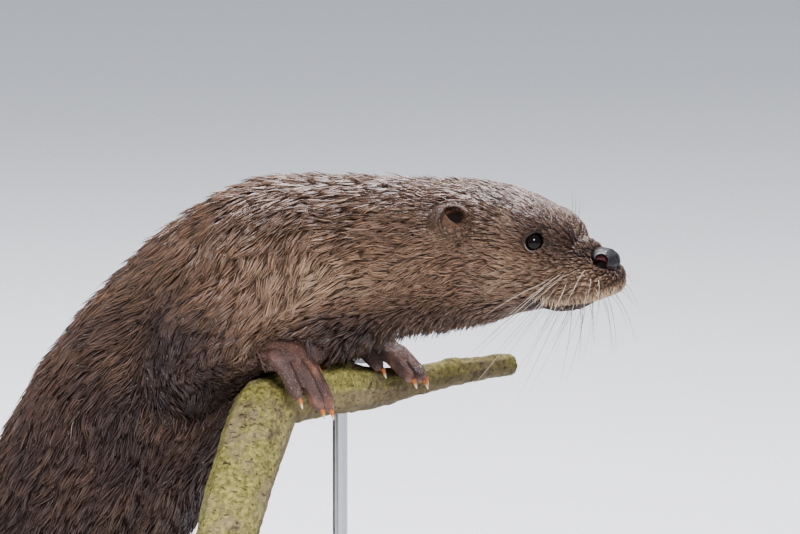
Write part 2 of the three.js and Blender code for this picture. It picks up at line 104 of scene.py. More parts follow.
def near(points, x, y, z, reach):
    """1 at a landmark, falling smoothly to 0 a few reaches away."""
    away = np.linalg.norm(points - np.array((x, y, z)), axis=-1)
    return np.exp(-((away / reach) ** 2))


def folded(marks):
    """Landmarks with the otter's right half laid over its left."""
    return np.column_stack((marks[:, 0], np.abs(marks[:, 1]), marks[:, 2]))


def raise_forms(rise, marks, forms):
    """Adds a table of swellings and hollows to how far each point rises."""
    for height, x, y, z, reach in forms.values():
        rise += height * near(marks, x, y, z, reach)


def ripple(points, size, seed):
    """A soft random pattern from -1 to 1, whose blotches are about size across."""
    rng = np.random.default_rng(seed)
    total = np.zeros(len(points))
    for _ in range(7):
        wave = unit(rng.normal(size=3)) * (2 * math.pi / (size * rng.uniform(1.2, 3.2)))
        total += np.sin(points @ wave + rng.uniform(0, 2 * math.pi))
    return total / 3.2


def curve_through(points, count):
    """Evenly timed samples of a smooth curve through the points, and its directions."""
    knots = np.array(points, dtype=float)
    knots = np.vstack([2 * knots[0] - knots[1], knots, 2 * knots[-1] - knots[-2]])
    where = np.linspace(0, len(points) - 1 - 1e-6, count)
    step = where.astype(int)
    t = (where - step)[:, None]
    a, b, c, d = (knots[step + k] for k in range(4))
    line = 0.5 * (2 * b + (c - a) * t + (2 * a - 5 * b + 4 * c - d) * t**2 + (3 * b - a - 3 * c + d) * t**3)
    return line, unit(np.gradient(line, axis=0))


# ------------------------------------------------------------------ settings
def colour(name, default, description):
    return FloatVectorProperty(name=name, description=description, subtype="COLOR", size=3, min=0, max=1,
                               default=default)


def length(name, default, description):
    return FloatProperty(name=name, description=description, unit="LENGTH", min=0, default=default)


class OtterSkinSettings(PropertyGroup):
    """The skin under the coat."""
    grain: length("Grain", 0.0012, "Size of the skin's smallest faces")
    coat_depth: length("Coat depth", 0.0034, "How far the trunk's skin lies under the coat's surface")
    face_depth: length("Face depth", 0.0011, "How far the face's skin lies under the coat's surface")
    paw_colour: colour("Paw skin", (0.120, 0.070, 0.058), "Bare skin of the feet")
    knuckle_colour: colour("Knuckles", (0.46, 0.22, 0.14), "Ruddy skin over the joints of the toes")


class OtterCoatSettings(PropertyGroup):
    """The wet coat, in pointed locks."""
    lock_length: length("Lock length", 0.0195, "Length of a lock on the trunk")
    lock_width: length("Lock width", 0.00128, "Width of a lock on the trunk")
    spacing: length("Spacing", 0.0020, "Distance between the roots on the trunk")
    back_colour: colour("Back", (0.072, 0.041, 0.034), "Locks of the back and trunk")
    flank_colour: colour("Flank", (0.300, 0.185, 0.115), "Locks of the neck's sides and limbs")
    throat_colour: colour("Throat", (0.78, 0.58, 0.39), "Locks of the throat and lips")
    seed: IntProperty(name="Seed", description="Start of the random choices", default=7)


class OtterFaceSettings(PropertyGroup):
    """Eyes, nose and whiskers."""
    whisker_length: length("Whisker length", 0.062, "Length of the longest whiskers")
    whisker_width: length("Whisker width", 0.00042, "Width of a whisker at its root")
    eye_colour: colour("Eye", (0.006, 0.004, 0.003), "The dark eye")
    nose_colour: colour("Nose", (0.012, 0.010, 0.011), "The wet nose pad")
    claw_colour: colour("Claw", (0.62, 0.21, 0.045), "The claws' amber horn")


class OtterPerchSettings(PropertyGroup):
    """The branch."""
    bark_colour: colour("Bark", (0.27, 0.215, 0.130), "Bare bark")
    moss_colour: colour("Moss", (0.47, 0.42, 0.150), "Thin green growth on the bark")
    wood_colour: colour("Cut wood", (0.46, 0.33, 0.19), "The sawn ends")


class OtterStandSettings(PropertyGroup):
    """The display stand and the studio."""
    board_colour: colour("Board", (0.035, 0.03, 0.027), "The base")
    floor_colour: colour("Floor", (0.74, 0.75, 0.75), "The studio floor and backdrop")
    camera_distance: length("Camera distance", 8.0, "From the camera to the otter")
    camera_width: length("View width", 0.48, "Width of what the camera sees at the otter")


# ------------------------------------------------------------------ mesh helpers
def new_object(name, mesh):
    thing = bpy.data.objects.new(name, mesh)
    bpy.context.scene.collection.objects.link(thing)
    return thing


def merged_nodes(names, grow=0.0):
    """One bmesh with the named solids of the frame, each merged and swollen by grow."""
    whole = bmesh.new()
    for name in names:
        piece = bmesh.new()
        piece.from_mesh(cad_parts[name].data)
        bmesh.ops.remove_doubles(piece, verts=piece.verts, dist=1e-5)
        bmesh.ops.recalc_face_normals(piece, faces=piece.faces)
        piece.normal_update()
        for vert in piece.verts:
            vert.co += vert.normal * grow
        mesh = bpy.data.meshes.new("solid")
        piece.to_mesh(mesh)
        piece.free()
        whole.from_mesh(mesh)
        bpy.data.meshes.remove(mesh)
    return whole


def to_object(bm, name):
    mesh = bpy.data.meshes.new(name)
    bm.to_mesh(mesh)
    bm.free()
    return new_object(name, mesh)


def settle(thing):
    """Turns an object's modifiers into plain mesh."""
    graph = bpy.context.evaluated_depsgraph_get()
    mesh = bpy.data.meshes.new_from_object(thing.evaluated_get(graph))
    old = thing.data
    thing.modifiers.clear()
    thing.data = mesh
    mesh.name = thing.name
    bpy.data.meshes.remove(old)


def fuse(thing, grain):
    """Fuses a mesh's overlapping shells into one, with faces of about grain across."""
    remesh = thing.modifiers.new("Fuse", "REMESH")
    remesh.mode = "VOXEL"
    remesh.voxel_size = grain
    settle(thing)


def relax(thing, rounds, group=None):
    """Smooths a mesh, all over or by the weights of a vertex group."""
    smooth = thing.modifiers.new("Relax", "SMOOTH")
    smooth.factor = 0.5
    smooth.iterations = rounds
    if group is not None:
        smooth.vertex_group = group
    settle(thing)


def weigh(thing, name, weights):
    """A vertex group from an array of weights, in steps of a tenth."""
    group = thing.vertex_groups.new(name=name)
    steps = np.rint(weights * 10).astype(int)
    for step in range(1, 11):
        chosen = np.nonzero(steps == step)[0]
        if len(chosen):
            group.add(chosen.tolist(), step / 10, "REPLACE")


def points_of(mesh):
    points = np.empty(len(mesh.vertices) * 3)
    mesh.vertices.foreach_get("co", points)
    return points.reshape(-1, 3)


def normals_of(mesh):
    normals = np.empty(len(mesh.vertices) * 3)
    mesh.vertex_normals.foreach_get("vector", normals)
    return normals.reshape(-1, 3)


def move_to(mesh, points):
    mesh.vertices.foreach_set("co", points.ravel())
    mesh.update()


def paint(mesh, name, values):
    """A number on each vertex, for the materials to read."""
    layer = mesh.attributes.new(name, "FLOAT", "POINT")
    layer.data.foreach_set("value", np.asarray(values, dtype=np.float32))


def shade_smooth(thing):
    thing.data.polygons.foreach_set("use_smooth", [True] * len(thing.data.polygons))


def dress(thing, material, *replaced, slot="dark_fur"):
    """Gives a piece its material, puts it under the root body, and hides the nodes of the frame that it
    replaces.
    """
    thing.data.materials.clear()
    thing.data.materials.append(material)
    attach(thing, "root")
    if replaced:
        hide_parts(*replaced)


# ------------------------------------------------------------------ material helpers
# Colours that the materials mix into those of the settings. Several are painted light: shade in the gaps
# between the locks and towards their roots, glints on a few locks, a sheen on the lower lids, shade in the
# ear canals, round the nostrils and round the eyeballs, and shade under the branch, on its far arm and in
# its furrows and cracks. The tints of the locks, of the branch's shade and of the skin under the coat
# multiply what lies below them.
TINTS = {
    # dark skin under the coat, with painted shade in the gaps between the locks
    "dark_skin_and_gap_shade": (0.16, 0.13, 0.12),
    "paw_hollow": (0.055, 0.036, 0.032),
    "mouth_line": (0.022, 0.011, 0.010),
    # the lids' dark edges, also painted over the skin round the eyeballs as shade
    "lid_edge": (0.016, 0.011, 0.010),
    # painted sheen along the wet lower lids
    "lid_sheen_tint": (0.34, 0.30, 0.29),
    "ear_down": (0.145, 0.080, 0.042),
    "ear_down_dark": (0.065, 0.036, 0.022),
    # painted shade, almost black, in the ear canals and round the nostrils
    "ear_canal": (0.010, 0.005, 0.004),
    # painted shade towards the locks' roots
    "lock_root_shade": (0.26, 0.22, 0.20),
    "lock_dark": (0.38, 0.34, 0.32),
    # painted glints on a few locks
    "lock_glint": (1.9, 1.75, 1.6),
    "nose_grey": (0.030, 0.026, 0.028),
    "nostril": (0.075, 0.014, 0.012),
    "claw_streak": (0.30, 0.115, 0.045),
    "claw_tip": (0.85, 0.68, 0.48),
    "claw_root": (0.16, 0.055, 0.035),
    "whisker_dark": (0.07, 0.045, 0.03),
    # painted shade in the low parts of the bark's relief
    "whisker_pale": (0.62, 0.52, 0.42),
    "bark_furrow_shade": (0.085, 0.062, 0.036),
    "bark_fleck": (0.46, 0.375, 0.22),
    "moss_dark": (0.185, 0.170, 0.045),
    # painted shade in the bark's cracks
    "bark_crack_shade": (0.045, 0.034, 0.020),
    # painted shade under the branch and on its far arm
    "shade_below_and_far": (0.46, 0.42, 0.38),
    "wood_ring": (0.30, 0.20, 0.11),
    "board_grain": (0.06, 0.052, 0.047),
}


class Nodes:
    """A node tree that is written from its inputs to its outputs."""

    def __init__(self, tree):
        self.tree = tree

    def add(self, kind, inputs=None, **settings):
        node = self.tree.nodes.new(kind)
        for name, value in settings.items():
            setattr(node, name, value)
        for name, value in (inputs or {}).items():
            socket = node.inputs[name]
            if isinstance(value, bpy.types.NodeSocket):
                self.tree.links.new(value, socket)
            else:
                socket.default_value = value
        return node

    def number(self, attribute):
        return self.add("ShaderNodeAttribute", attribute_name=attribute).outputs["Fac"]

    def mix(self, amount, first, second, blend="MIX"):
        node = self.add("ShaderNodeMix", data_type="RGBA", blend_type=blend)
        for index, value in ((0, amount), (6, first), (7, second)):
            if isinstance(value, bpy.types.NodeSocket):
                self.tree.links.new(value, node.inputs[index])
            elif index and len(value) == 3:
                node.inputs[index].default_value = (*value, 1)
            else:
                node.inputs[index].default_value = value
        return node.outputs[2]

    def math(self, operation, first, second=0.0):
        node = self.add("ShaderNodeMath", operation=operation)
        for index, value in enumerate((first, second)):
            if isinstance(value, bpy.types.NodeSocket):
                self.tree.links.new(value, node.inputs[index])
            else:
                node.inputs[index].default_value = value
        return node.outputs[0]

    def spread(self, value, low, high, to_low=0.0, to_high=1.0):
        return self.add("ShaderNodeMapRange", {"Value": value, "From Min": low, "From Max": high,
                                               "To Min": to_low, "To Max": to_high}).outputs["Result"]

    def place(self):
        return self.add("ShaderNodeTexCoord").outputs["Object"]

    def noise(self, scale, detail=4.0, roughness=0.55, stretch=None):
        where = self.place()
        if stretch is not None:
            where = self.add("ShaderNodeMapping", {"Vector": where, "Scale": stretch}).outputs["Vector"]
        return self.add("ShaderNodeTexNoise", {"Vector": where, "Scale": scale, "Detail": detail,
                                               "Roughness": roughness}).outputs["Fac"]

    def cells(self, scale, feature):
        return self.add("ShaderNodeTexVoronoi", {"Vector": self.place(), "Scale": scale},
                        feature=feature).outputs["Distance"]

    def bump(self, height, depth, strength):
        return self.add("ShaderNodeBump", {"Height": height, "Distance": depth,
                                           "Strength": strength}).outputs["Normal"]

    def group(self, group, inputs):
        node = self.add("ShaderNodeGroup", node_tree=group)
        for name, value in inputs.items():
            if isinstance(value, bpy.types.NodeSocket):
                self.tree.links.new(value, node.inputs[name])
            elif isinstance(value, float):
                node.inputs[name].default_value = value
            else:
                node.inputs[name].default_value = (*value, 1)
        return node.outputs


def new_material(name, **fixed):
    """A material with a Principled shader whose fixed values are set on its own sockets."""
    material = bpy.data.materials.new(name)
    material.use_nodes = True
    shader = material.node_tree.nodes["Principled BSDF"]
    for socket, value in fixed.items():
        shader.inputs[socket.replace("_", " ")].default_value = value
    return material, Nodes(material.node_tree), shader


def plug(nodes, output, shader, socket):
    nodes.tree.links.new(output, shader.inputs[socket])


# ------------------------------------------------------------------ the otter's lines and markings
ARM_LINES = {"right": ((-10, -40, 96), (-22, -50, 70), (-41, -58, 46), (-51, -62, 27), (-34, -54, 29),
                       (-17, -45, 35), (9, -43.5, 34), (29.5, -42, 5)),
             "left": ((-10, 40, 96), (-22, 50, 70), (-41, 58, 46), (-51, 62, 27), (-24, 50, 29),
                      (6, 38, 31), (27, 41, 27.5), (52, 44, 11.5))}
LEG_LINES = {side: ((-240, sign * 40, -160), (-228, sign * 48, -172), (-204, sign * 60, -175),
                    (-176, sign * 70, -178), (-208, sign * 69, -212), (-243, sign * 67, -245),
                    (-186, sign * 73, -251.5), (-152, sign * 76, -257.5)) for side, sign in SIDES}
ARM_RADII = (31, 12)  # at the shoulder and at the wrist
LEG_RADII = (40, 14)
LIMBS = ((ARM_LINES["right"], ARM_RADII), (ARM_LINES["left"], ARM_RADII),
         (LEG_LINES["right"], LEG_RADII), (LEG_LINES["left"], LEG_RADII))
BODY_SAMPLES = 260
LIMB_SAMPLES = 120
MOUTH_LINE = ((203, 79), (194, 75.6), (184, 72.6), (168, 71.4), (153, 75), (146, 73))
EAR = {"x": 112.0, "side": 45.5, "z": 120.5}
NOSTRIL = {"x": 192.6, "side": 10.3, "z": 95.9}


# Swellings and hollows, in millimetres: height, then x, side and z of the middle, and reach.
WHISKER_PADS = {"pad": (1.9, 185, 19, 84, 10), "back of the pad": (0.9, 172, 23, 82, 8)}
MUZZLE_FORMS = {"brow": (1.0, 158, 22, 117, 7), "top of the muzzle": (3.2, 183, 3, 106, 7),
                "front of the lip": (2.2, 199, 6, 84, 7)}
EYE_FORMS = {"above the eye": (0.6, 165, 18, 112, 6), "before the eye": (-0.7, 172, 17, 102, 7)}
CHEEK_FORMS = {"corner of the mouth": (-0.8, 146, 30, 84, 7), "cheek": (0.8, 132, 39, 86, 15),
               "before the ear": (-0.9, 122, 40, 110, 8)}
BODY_FORMS = {"shoulder": (2.2, -46, 62, 52, 24), "ribs": (1.0, -104, 60, 20, 22)}
NOSE_FORMS = {"above the nostril": (-1.6, 191, 9.5, 103.5, 4), "back of the pad": (-0.7, 188, 3, 105, 5)}
# The branch's knots: x, y and z of the middle, and reach.
BRANCH_KNOTS = ((14, 8, 22, 9), (50, 100, 13, 8), (-4, -68, -20, 8))

# Profiles: places, then the values there. Shades run along the body, from the lips at 0 to the tail's tip.
BACK_SHADES = ((0, 0.12, 0.34, 0.46, 0.6, 1), (0.20, 0.22, 0.32, 0.32, 0.18, 0.12))
# The sides are palest at the neck and shoulders, partly their own colour and partly a painted sheen, and
# darkest on the trunk behind them, partly painted shade.
SIDE_SHADES = ((0, 0.10, 0.18, 0.30, 0.37, 0.43, 0.5, 0.6, 1),
               (0.48, 0.52, 0.42, 0.66, 0.62, 0.42, 0.16, 0.06, 0.04))
# The belly's values lie below the sides' and darken the underside: painted shade under the body.
BELLY_SHADES = ((0, 0.08, 0.2, 0.32, 0.42, 0.6, 1), (0.25, 0.36, 0.30, 0.14, 0.08, 0.05, 0.02))
# The coat's length as a share of the trunk's: by x, along the tail and along a limb.
SIZES_BY_X = ((-30, 40, 85, 120, 150, 172, 200), (1.0, 0.94, 0.84, 0.70, 0.55, 0.34, 0.25))
TAIL_SIZES = ((0.72, 0.85, 1), (0.95, 0.8, 0.6))
LIMB_SIZES = ((0, 0.36, 0.5, 0.62, 0.8, 1), (0.95, 0.8, 0.52, 0.40, 0.31, 0.27))


def nearest_on(line, points):
    """For each point, the nearest sample of a line and how far away it is."""
    which = np.empty(len(points), dtype=int)
    away = np.empty(len(points))
    for start in range(0, len(points), 20000):
        part = slice(start, start + 20000)
        gaps = np.linalg.norm(points[part, None] - line[None], axis=2)
        which[part] = gaps.argmin(1)
        away[part] = gaps.min(1)
    return which, away


def survey(marks):
    """What part of the otter each landmark point belongs to, and where along it."""
    body, aims = curve_through(BODY_LINE, BODY_SAMPLES)
    which, away = nearest_on(body, marks)
    found = {"along": which / (BODY_SAMPLES - 1), "away": away, "aim": aims[which], "axis": body[which]}
    limb = np.zeros(len(marks))
    limb_aim = np.zeros_like(marks)
    limb_along = np.zeros(len(marks))
    region = np.zeros(len(marks), dtype=int)
    paw = np.zeros(len(marks))
    for number, (line, (thick, thin)) in enumerate(LIMBS, 1):
        samples, directions = curve_through(line, LIMB_SAMPLES)
        place, gap = nearest_on(samples, marks)
        share_along = place / (LIMB_SAMPLES - 1)
        radius = np.interp(share_along, (0, 0.45, 0.75, 1), (thick, thick * 0.8, thin, thin))
        share = smooth_step(1.5, 1.02, gap / radius)
        wrist = smooth_step(2.5, 1.9, gap / radius) * smooth_step(0.68, 0.84, share_along)
        paw = np.maximum(paw, wrist * smooth_step(50, 56, away) * smooth_step(47, 41, marks[:, 2]))
        better = share > limb
        limb = np.where(better, share, limb)
        limb_aim[better] = directions[place[better]]
        limb_along[better] = share_along[better]
        region[better & (share > 0.5)] = number
    found.update(limb=limb, limb_aim=limb_aim, limb_along=limb_along, region=region, paw=paw)
    return found


def mouth_gap(marks):
    """How far each point is from the line of the mouth, seen from the side."""
    line = np.array([(x, z) for x, z in MOUTH_LINE], dtype=float)
    best = np.full(len(marks), 1e3)
    flat = marks[:, (0, 2)]
    for a, b in zip(line[:-1], line[1:]):
        t = np.clip(((flat - a) @ (b - a)) / ((b - a) @ (b - a)), 0, 1)
        best = np.minimum(best, np.linalg.norm(flat - a - t[:, None] * (b - a), axis=1))
    return best


def eye_frame(side):
    """The middle of an eye, the way it looks, and the long and short axes of its opening."""
    centre = np.array((EYE["x"], side * EYE["side"], EYE["z"]))
    out = unit(np.array((EYE_LOOK[0], side * EYE_LOOK[1], EYE_LOOK[2])))
    ahead = np.array((0.80, 0.0, 0.60))
    ahead = unit(ahead - out * (ahead @ out))
    above = np.cross(out, ahead)
    if above[2] < 0:
        above = -above
    return centre, out, ahead, above


def lid_distance(marks, side):
    """How far outside an eye's opening each point is: 0 on the lids' edge, -1 in the middle."""
    centre, out, ahead, above = eye_frame(side)
    away = marks - centre
    depth, u, v = away @ out, away @ ahead, away @ above
    reach = np.where(u > 0, 6.0, 5.4)
    high = np.where(v > 0, 4.8, 4.7)
    ring = np.sqrt((u / reach) ** 2 + (v / high) ** 2) - 1
    return np.where(depth > -3, ring, 9.0), depth, u, v


def ear_rim(ahead, above):
    """1 behind and above the middle of the ear, where its rim stands up, and 0 in front."""
    turn = np.arctan2(above, ahead)
    return smooth_step(-0.42, 0.15, np.cos(turn - math.radians(118)))


def ear_bowl(ahead, above):
    """0 in the middle of the ear's bowl and 1 on its edge."""
    return np.hypot((ahead - 0.6) / 7.4, (above - 0.4) / 6.6)


def ear_canal(ahead, above):
    """0 in the middle of the dark way into the ear and 1 on its edge."""
    return np.hypot((ahead - 1.8) / 4.6, (above - 1.9) / 3.4)


def lip_height(marks):
    """How high the line of the mouth runs where each point is."""
    return np.interp(-marks[:, 0], [-x for x, _ in MOUTH_LINE], [z for _, z in MOUTH_LINE])


def ear_frame(marks, side):
    """Each point seen from in front of an ear: towards the viewer, forwards and upwards of its middle."""
    out = unit(np.array((0.50, side * 0.84, 0.22)))
    ahead = unit(np.cross(np.array((0.0, 0.0, 1.0)), out) * -side)
    above = unit(np.cross(out, ahead) * side)
    away = marks - np.array((EAR["x"], side * EAR["side"], EAR["z"]))
    return out, away @ out, away @ ahead, away @ above * np.sign(above[2])


def markings(marks, place):
    """The otter's pattern at each point: 0 dark back, 0.5 brown flank, 1 pale throat. It holds painted light
    too: shade under the body, on the limbs and under the lip, and a sheen on the neck, shoulders and
    forearms.
    """
    x, _, z = marks.T
    height = (z - place["axis"][:, 2]) / np.maximum(place["away"], 1)
    along = place["along"]
    upper = np.interp(along, *BACK_SHADES)
    side = np.interp(along, *SIDE_SHADES)
    under = np.interp(along, *BELLY_SHADES)
    # The colour turns from the back's to the sides' and, lower down, to the belly's darker values: painted
    # shade under the body.
    base = upper + (side - upper) * smooth_step(0.72, 0.05, height)
    base = base + (under - base) * smooth_step(-0.25, -0.8, height)
    mirrored = folded(marks)
    base += 0.12 * near(mirrored, 138, 34, 92, 22) + 0.12 * near(mirrored, 180, 20, 86, 14)
    # The lower jaw, below the mouth's line, is darkened: painted shade under the overhanging upper lip.
    chin = smooth_step(146, 158, x) * smooth_step(0.5, -1.5, z - lip_height(marks))
    base *= 1 - 0.85 * chin
    lips = smooth_step(7.5, 3.0, mouth_gap(marks)) * smooth_step(146, 162, x) * (1 - chin)
    base = np.maximum(base, 0.98 * lips)
    # The limbs darken below the shoulders and hips, partly their own darker fur and partly painted shade; the
    # forearms stay a little paler, a painted sheen.
    forearm = smooth_step(0.44, 0.60, place["limb_along"])
    hand = smooth_step(0.64, 0.74, place["limb_along"])
    limb = 0.90 * place["limb"] * smooth_step(0.12, 0.36, place["limb_along"])
    base = base * (1 - limb) + limb * (0.02 + 0.15 * forearm * (1 - hand))
    base += 0.25 * near(mirrored, 106, 44, 113, 7)
    base += 0.055 * ripple(marks, 16, 3) + 0.04 * ripple(marks, 5, 4)
    return np.clip(base, 0, 1)


def bareness(marks, place):
    """1 on the naked skin of the feet, 0 where the coat grows."""
    return smooth_step(0.35, 0.65, place["paw"] + 0.12 * ripple(marks, 6, 9))


def coat_size(marks, place):
    """How long the coat is here, as a share of the trunk's."""
    x, y, z = marks.T
    size = np.interp(x, *SIZES_BY_X)
    tail = np.interp(place["along"], *TAIL_SIZES)
    size = np.where(place["along"] > TAIL_SIZES[0][0], tail, size)
    limb = np.interp(place["limb_along"], *LIMB_SIZES)
    size = size * (1 - place["limb"]) + limb * place["limb"]
    ears = smooth_step(23, 13, np.linalg.norm(np.column_stack((x - 112, np.abs(y) - 45, z - 120)), axis=1))
    size = size * (1 - ears) + 0.27 * ears
    for side in (-1, 1):
        _, depth, ahead, above = ear_frame(marks, side)
        on_rim = smooth_step(13.0, 10.5, np.hypot(ahead, above)) * (np.abs(depth) < 16)
        on_rim = on_rim * (0.45 + 0.55 * ear_rim(ahead, above))
        size = size * (1 - on_rim) + 0.17 * on_rim
    eyes = near(folded(marks), EYE["x"], EYE["side"], EYE["z"], 11)
    return size * (1 - eyes) + 0.27 * eyes


def nostril_gap(marks):
    """How far each point is from the middle of the nearer nostril."""
    return np.linalg.norm(folded(marks) - np.array(list(NOSTRIL.values())), axis=1)


def upper_lip(marks):
    """1 on the edge of the upper lip, 0 elsewhere."""
    above = marks[:, 2] > lip_height(marks) - 0.3
    return smooth_step(6.5, 2.5, mouth_gap(marks)) * smooth_step(150, 162, marks[:, 0]) * above


def hanging(marks, normals):
    """1 where wet tips hang free from the skin: at the elbows, under the throat and on the lips."""
    x = marks[:, 0]
    mirrored = folded(marks)
    elbow = np.clip(1.5 * near(mirrored, -46, 64, 8, 13), 0, 1)
    below = smooth_step(-0.55, -0.9, normals[:, 2])
    throat = 0.42 * below * smooth_step(-5, 25, x) * smooth_step(150, 120, x)
    belly = 0.30 * below * smooth_step(-60, -90, x) * smooth_step(-210, -180, x)
    return np.maximum.reduce((elbow, throat, belly, 0.55 * upper_lip(marks)))


def coat_flow(marks, place, normals):
    """The way the coat lies over the skin at each point."""
    back = place["aim"] * (1 - place["limb"])[:, None] + place["limb_aim"] * place["limb"][:, None] * 1.3
    face = smooth_step(105, 172, marks[:, 0])[:, None]
    from_nose = unit(marks - np.array((200, 0, 92)))
    back = unit(back) * (1 - face) + from_nose * face
    for side in (-1, 1):
        out, depth, ahead, above = ear_frame(marks, side)
        on_rim = smooth_step(12.5, 10.0, np.hypot(ahead, above)) * (np.abs(depth) < 16)
        on_rim = on_rim * ear_rim(ahead, above)
        away = unit(marks - np.array((EAR["x"], side * EAR["side"], EAR["z"])))
        back = back * (1 - on_rim[:, None]) + (away + 0.5 * out) * on_rim[:, None]
    lips = upper_lip(marks)[:, None]
    back = back * (1 - 0.7 * lips) + np.array((0.15, 0.0, -1.0)) * lips
    sides = smooth_step(0.7, 0.1, np.abs(normals[:, 2]))
    back[:, 2] -= 0.22 * sides * smooth_step(150, 90, marks[:, 0])
    sway = np.column_stack([ripple(marks, 42, 20 + axis) + 0.7 * ripple(marks, 17, 30 + axis)
                            for axis in range(3)])
    back = back + 0.27 * sway * smooth_step(200, 120, marks[:, 0])[:, None]
    back -= normals * np.sum(back * normals, axis=1, keepdims=True)
    return unit(back)


# ------------------------------------------------------------------ skin
def shape_eyelids(points):
    """Draws the skin over each eye into lids round an almond opening."""
    marks = to_marks(points)
    for _, side in SIDES:
        out = eye_frame(side)[1]
        ring, depth, u, v = lid_distance(marks, side)
        across = u ** 2 + v ** 2
        ball = np.sqrt(np.maximum(EYE["radius"] ** 2 - across, 0))
        lid = np.sqrt(np.maximum((EYE["radius"] + 0.75) ** 2 - across, 0))
        inside = ball - 0.7
        crease = np.exp(-((ring - 0.62) / 0.12) ** 2) * smooth_step(-1, 3, v) * 0.45
        bag = np.exp(-((ring - 0.85) / 0.16) ** 2) * smooth_step(1, -3, v) * 0.5
        over = np.maximum(lid, depth)
        drawn = smooth_step(1.5, 0.35, ring)
        outside = over * drawn + depth * (1 - drawn) - crease - bag
        rim = smooth_step(-0.09, 0.09, ring)
        target = inside * (1 - rim) + outside * rim
        close = ring < 1.6
        points[close] += (out[None] * (target - depth)[close, None]) * MM
    return points


def shape_ears(points):
    """Raises a round rim behind and above each ear and hollows its bowl."""
    marks = to_marks(points)
    for _, side in SIDES:
        out, depth, ahead, above = ear_frame(marks, side)
        across = np.hypot(ahead, above)
        rim = ear_rim(ahead, above)
        bowl = ear_bowl(ahead, above)
        near_ear = smooth_step(19, 14, across) * (np.abs(depth) < 17)
        rise = 5.8 * rim * np.exp(-((across - 9.0) / 1.5) ** 2) - 1.3 * smooth_step(1.1, 0.7, bowl)
        rise -= 2.6 * smooth_step(1.25, 0.6, ear_canal(ahead, above))
        rise -= 2.0 * np.exp(-((across - 13.0) / 2.2) ** 2) * rim
        points = points + out[None] * (rise * near_ear * MM)[:, None]
    return points


def shape_face(points, normals):
    """Cuts the mouth, lifts the lips, brows and whisker pads, and creases the cheeks."""
    marks = to_marks(points)
    x, y, z = marks.T
    mirrored = folded(marks)
    rise = np.zeros(len(points))
    mouth = mouth_gap(marks)
    on_mouth = smooth_step(146, 156, x)
    rise -= 1.3 * np.exp(-(mouth / 1.3) ** 2) * on_mouth
    rise += 0.7 * np.exp(-((mouth - 3.2) / 1.8) ** 2) * on_mouth * (z > 74)
    raise_forms(rise, mirrored, WHISKER_PADS)
    split = np.exp(-(y / 0.9) ** 2) * smooth_step(190, 196, x) * smooth_step(88, 86, z)
    rise -= 0.9 * split
    raise_forms(rise, mirrored, MUZZLE_FORMS)
    rise -= 2.2 * smooth_step(74, 70, z) * smooth_step(176, 190, x)
    raise_forms(rise, mirrored, EYE_FORMS)
    rise -= 5.5 * smooth_step(6.4, 3.6, nostril_gap(marks))
    raise_forms(rise, mirrored, CHEEK_FORMS)
    rise += 0.22 * ripple(marks, 9, 51) * smooth_step(60, 110, x)
    return points + normals * (rise * MM)[:, None]


def shape_body(points, normals, bare):
    """Puts slack folds and ripples of muscle under the coat."""
    marks = to_marks(points)
    x, y, z = marks.T
    furred = 1 - bare
    rise = 0.85 * ripple(marks, 30, 61) * smooth_step(90, 40, x) * furred
    rise += 0.45 * ripple(marks, 13, 62) * smooth_step(90, 40, x) * furred
    behind_arm = np.exp(-((x + 84 - (z - 40) * 0.06) / 5.5) ** 2) * smooth_step(15, 45, np.abs(y))
    rise -= 3.2 * behind_arm * smooth_step(-12, 10, z) * smooth_step(92, 62, z)
    ahead_of_arm = np.exp(-((x + 13 - (z - 58) * 0.25) / 4.5) ** 2) * smooth_step(15, 40, np.abs(y))
    rise -= 2.4 * ahead_of_arm * smooth_step(30, 44, z) * smooth_step(96, 76, z)
    raise_forms(rise, folded(marks), BODY_FORMS)
    return points + normals * (rise * MM)[:, None]


FLESH_SWELL = 0.0004  # how far the solids swell, so that the gaps between them close
HEAD_BACK = 75  # the x from which the skin keeps its finest faces
FINE_MARGIN = 0.003
TRUNK_RATIO = 0.33  # the share of all the skin's faces that is left once the trunk's are thinned
EAR_ZONE = (112, 45, 121)  # the landmark that the fine skin of an ear surrounds
LID_REACH = 0.0115
EAR_REACH = 0.018


def thin_trunk(skin):
    """Gives the trunk larger faces than the head, the ears and the feet."""
    points = points_of(skin.data)
    fine = to_marks(points)[:, 0] > HEAD_BACK
    for name in FEET + ("ear_right", "ear_left"):
        low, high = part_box(name)
        fine |= ((points > np.array(low) - FINE_MARGIN) & (points < np.array(high) + FINE_MARGIN)).all(1)
    skin.vertex_groups.clear()
    trunk = skin.vertex_groups.new(name="trunk")
    trunk.add(np.nonzero(~fine)[0].tolist(), 1.0, "REPLACE")
    coarse = skin.modifiers.new("Coarsen", "DECIMATE")
    coarse.ratio = TRUNK_RATIO
    coarse.vertex_group = "trunk"
    coarse.vertex_group_factor = 1.0
    settle(skin)
    skin.vertex_groups.clear()


def smooth_joins(skin):
    """Smooths where the solids met: most on the head, and least on the ears and the feet."""
    marks = to_marks(points_of(skin.data))
    head = smooth_step(70, 82, marks[:, 0])
    ears = smooth_step(23, 17, np.linalg.norm(folded(marks) - np.array(EAR_ZONE), axis=1))
    feet = smooth_step(0.3, 0.7, bareness(marks, survey(marks)))
    weigh(skin, "trunk", (1 - head) * (1 - feet))
    weigh(skin, "head", head * (1 - ears))
    weigh(skin, "fine", np.maximum(feet, ears * head))
    relax(skin, 13, "trunk")
    relax(skin, 26, "head")
    relax(skin, 4, "fine")
    skin.vertex_groups.clear()


def refine(bm, centres, reach, cuts):
    """Cuts the faces near some points into smaller ones."""
    close = [face for face in bm.faces
             if min((face.calc_center_median() - centre).length for centre in centres) < reach]
    edges = {edge for face in close for edge in face.edges}
    bmesh.ops.subdivide_edges(bm, edges=list(edges), cuts=cuts, use_grid_fill=True)


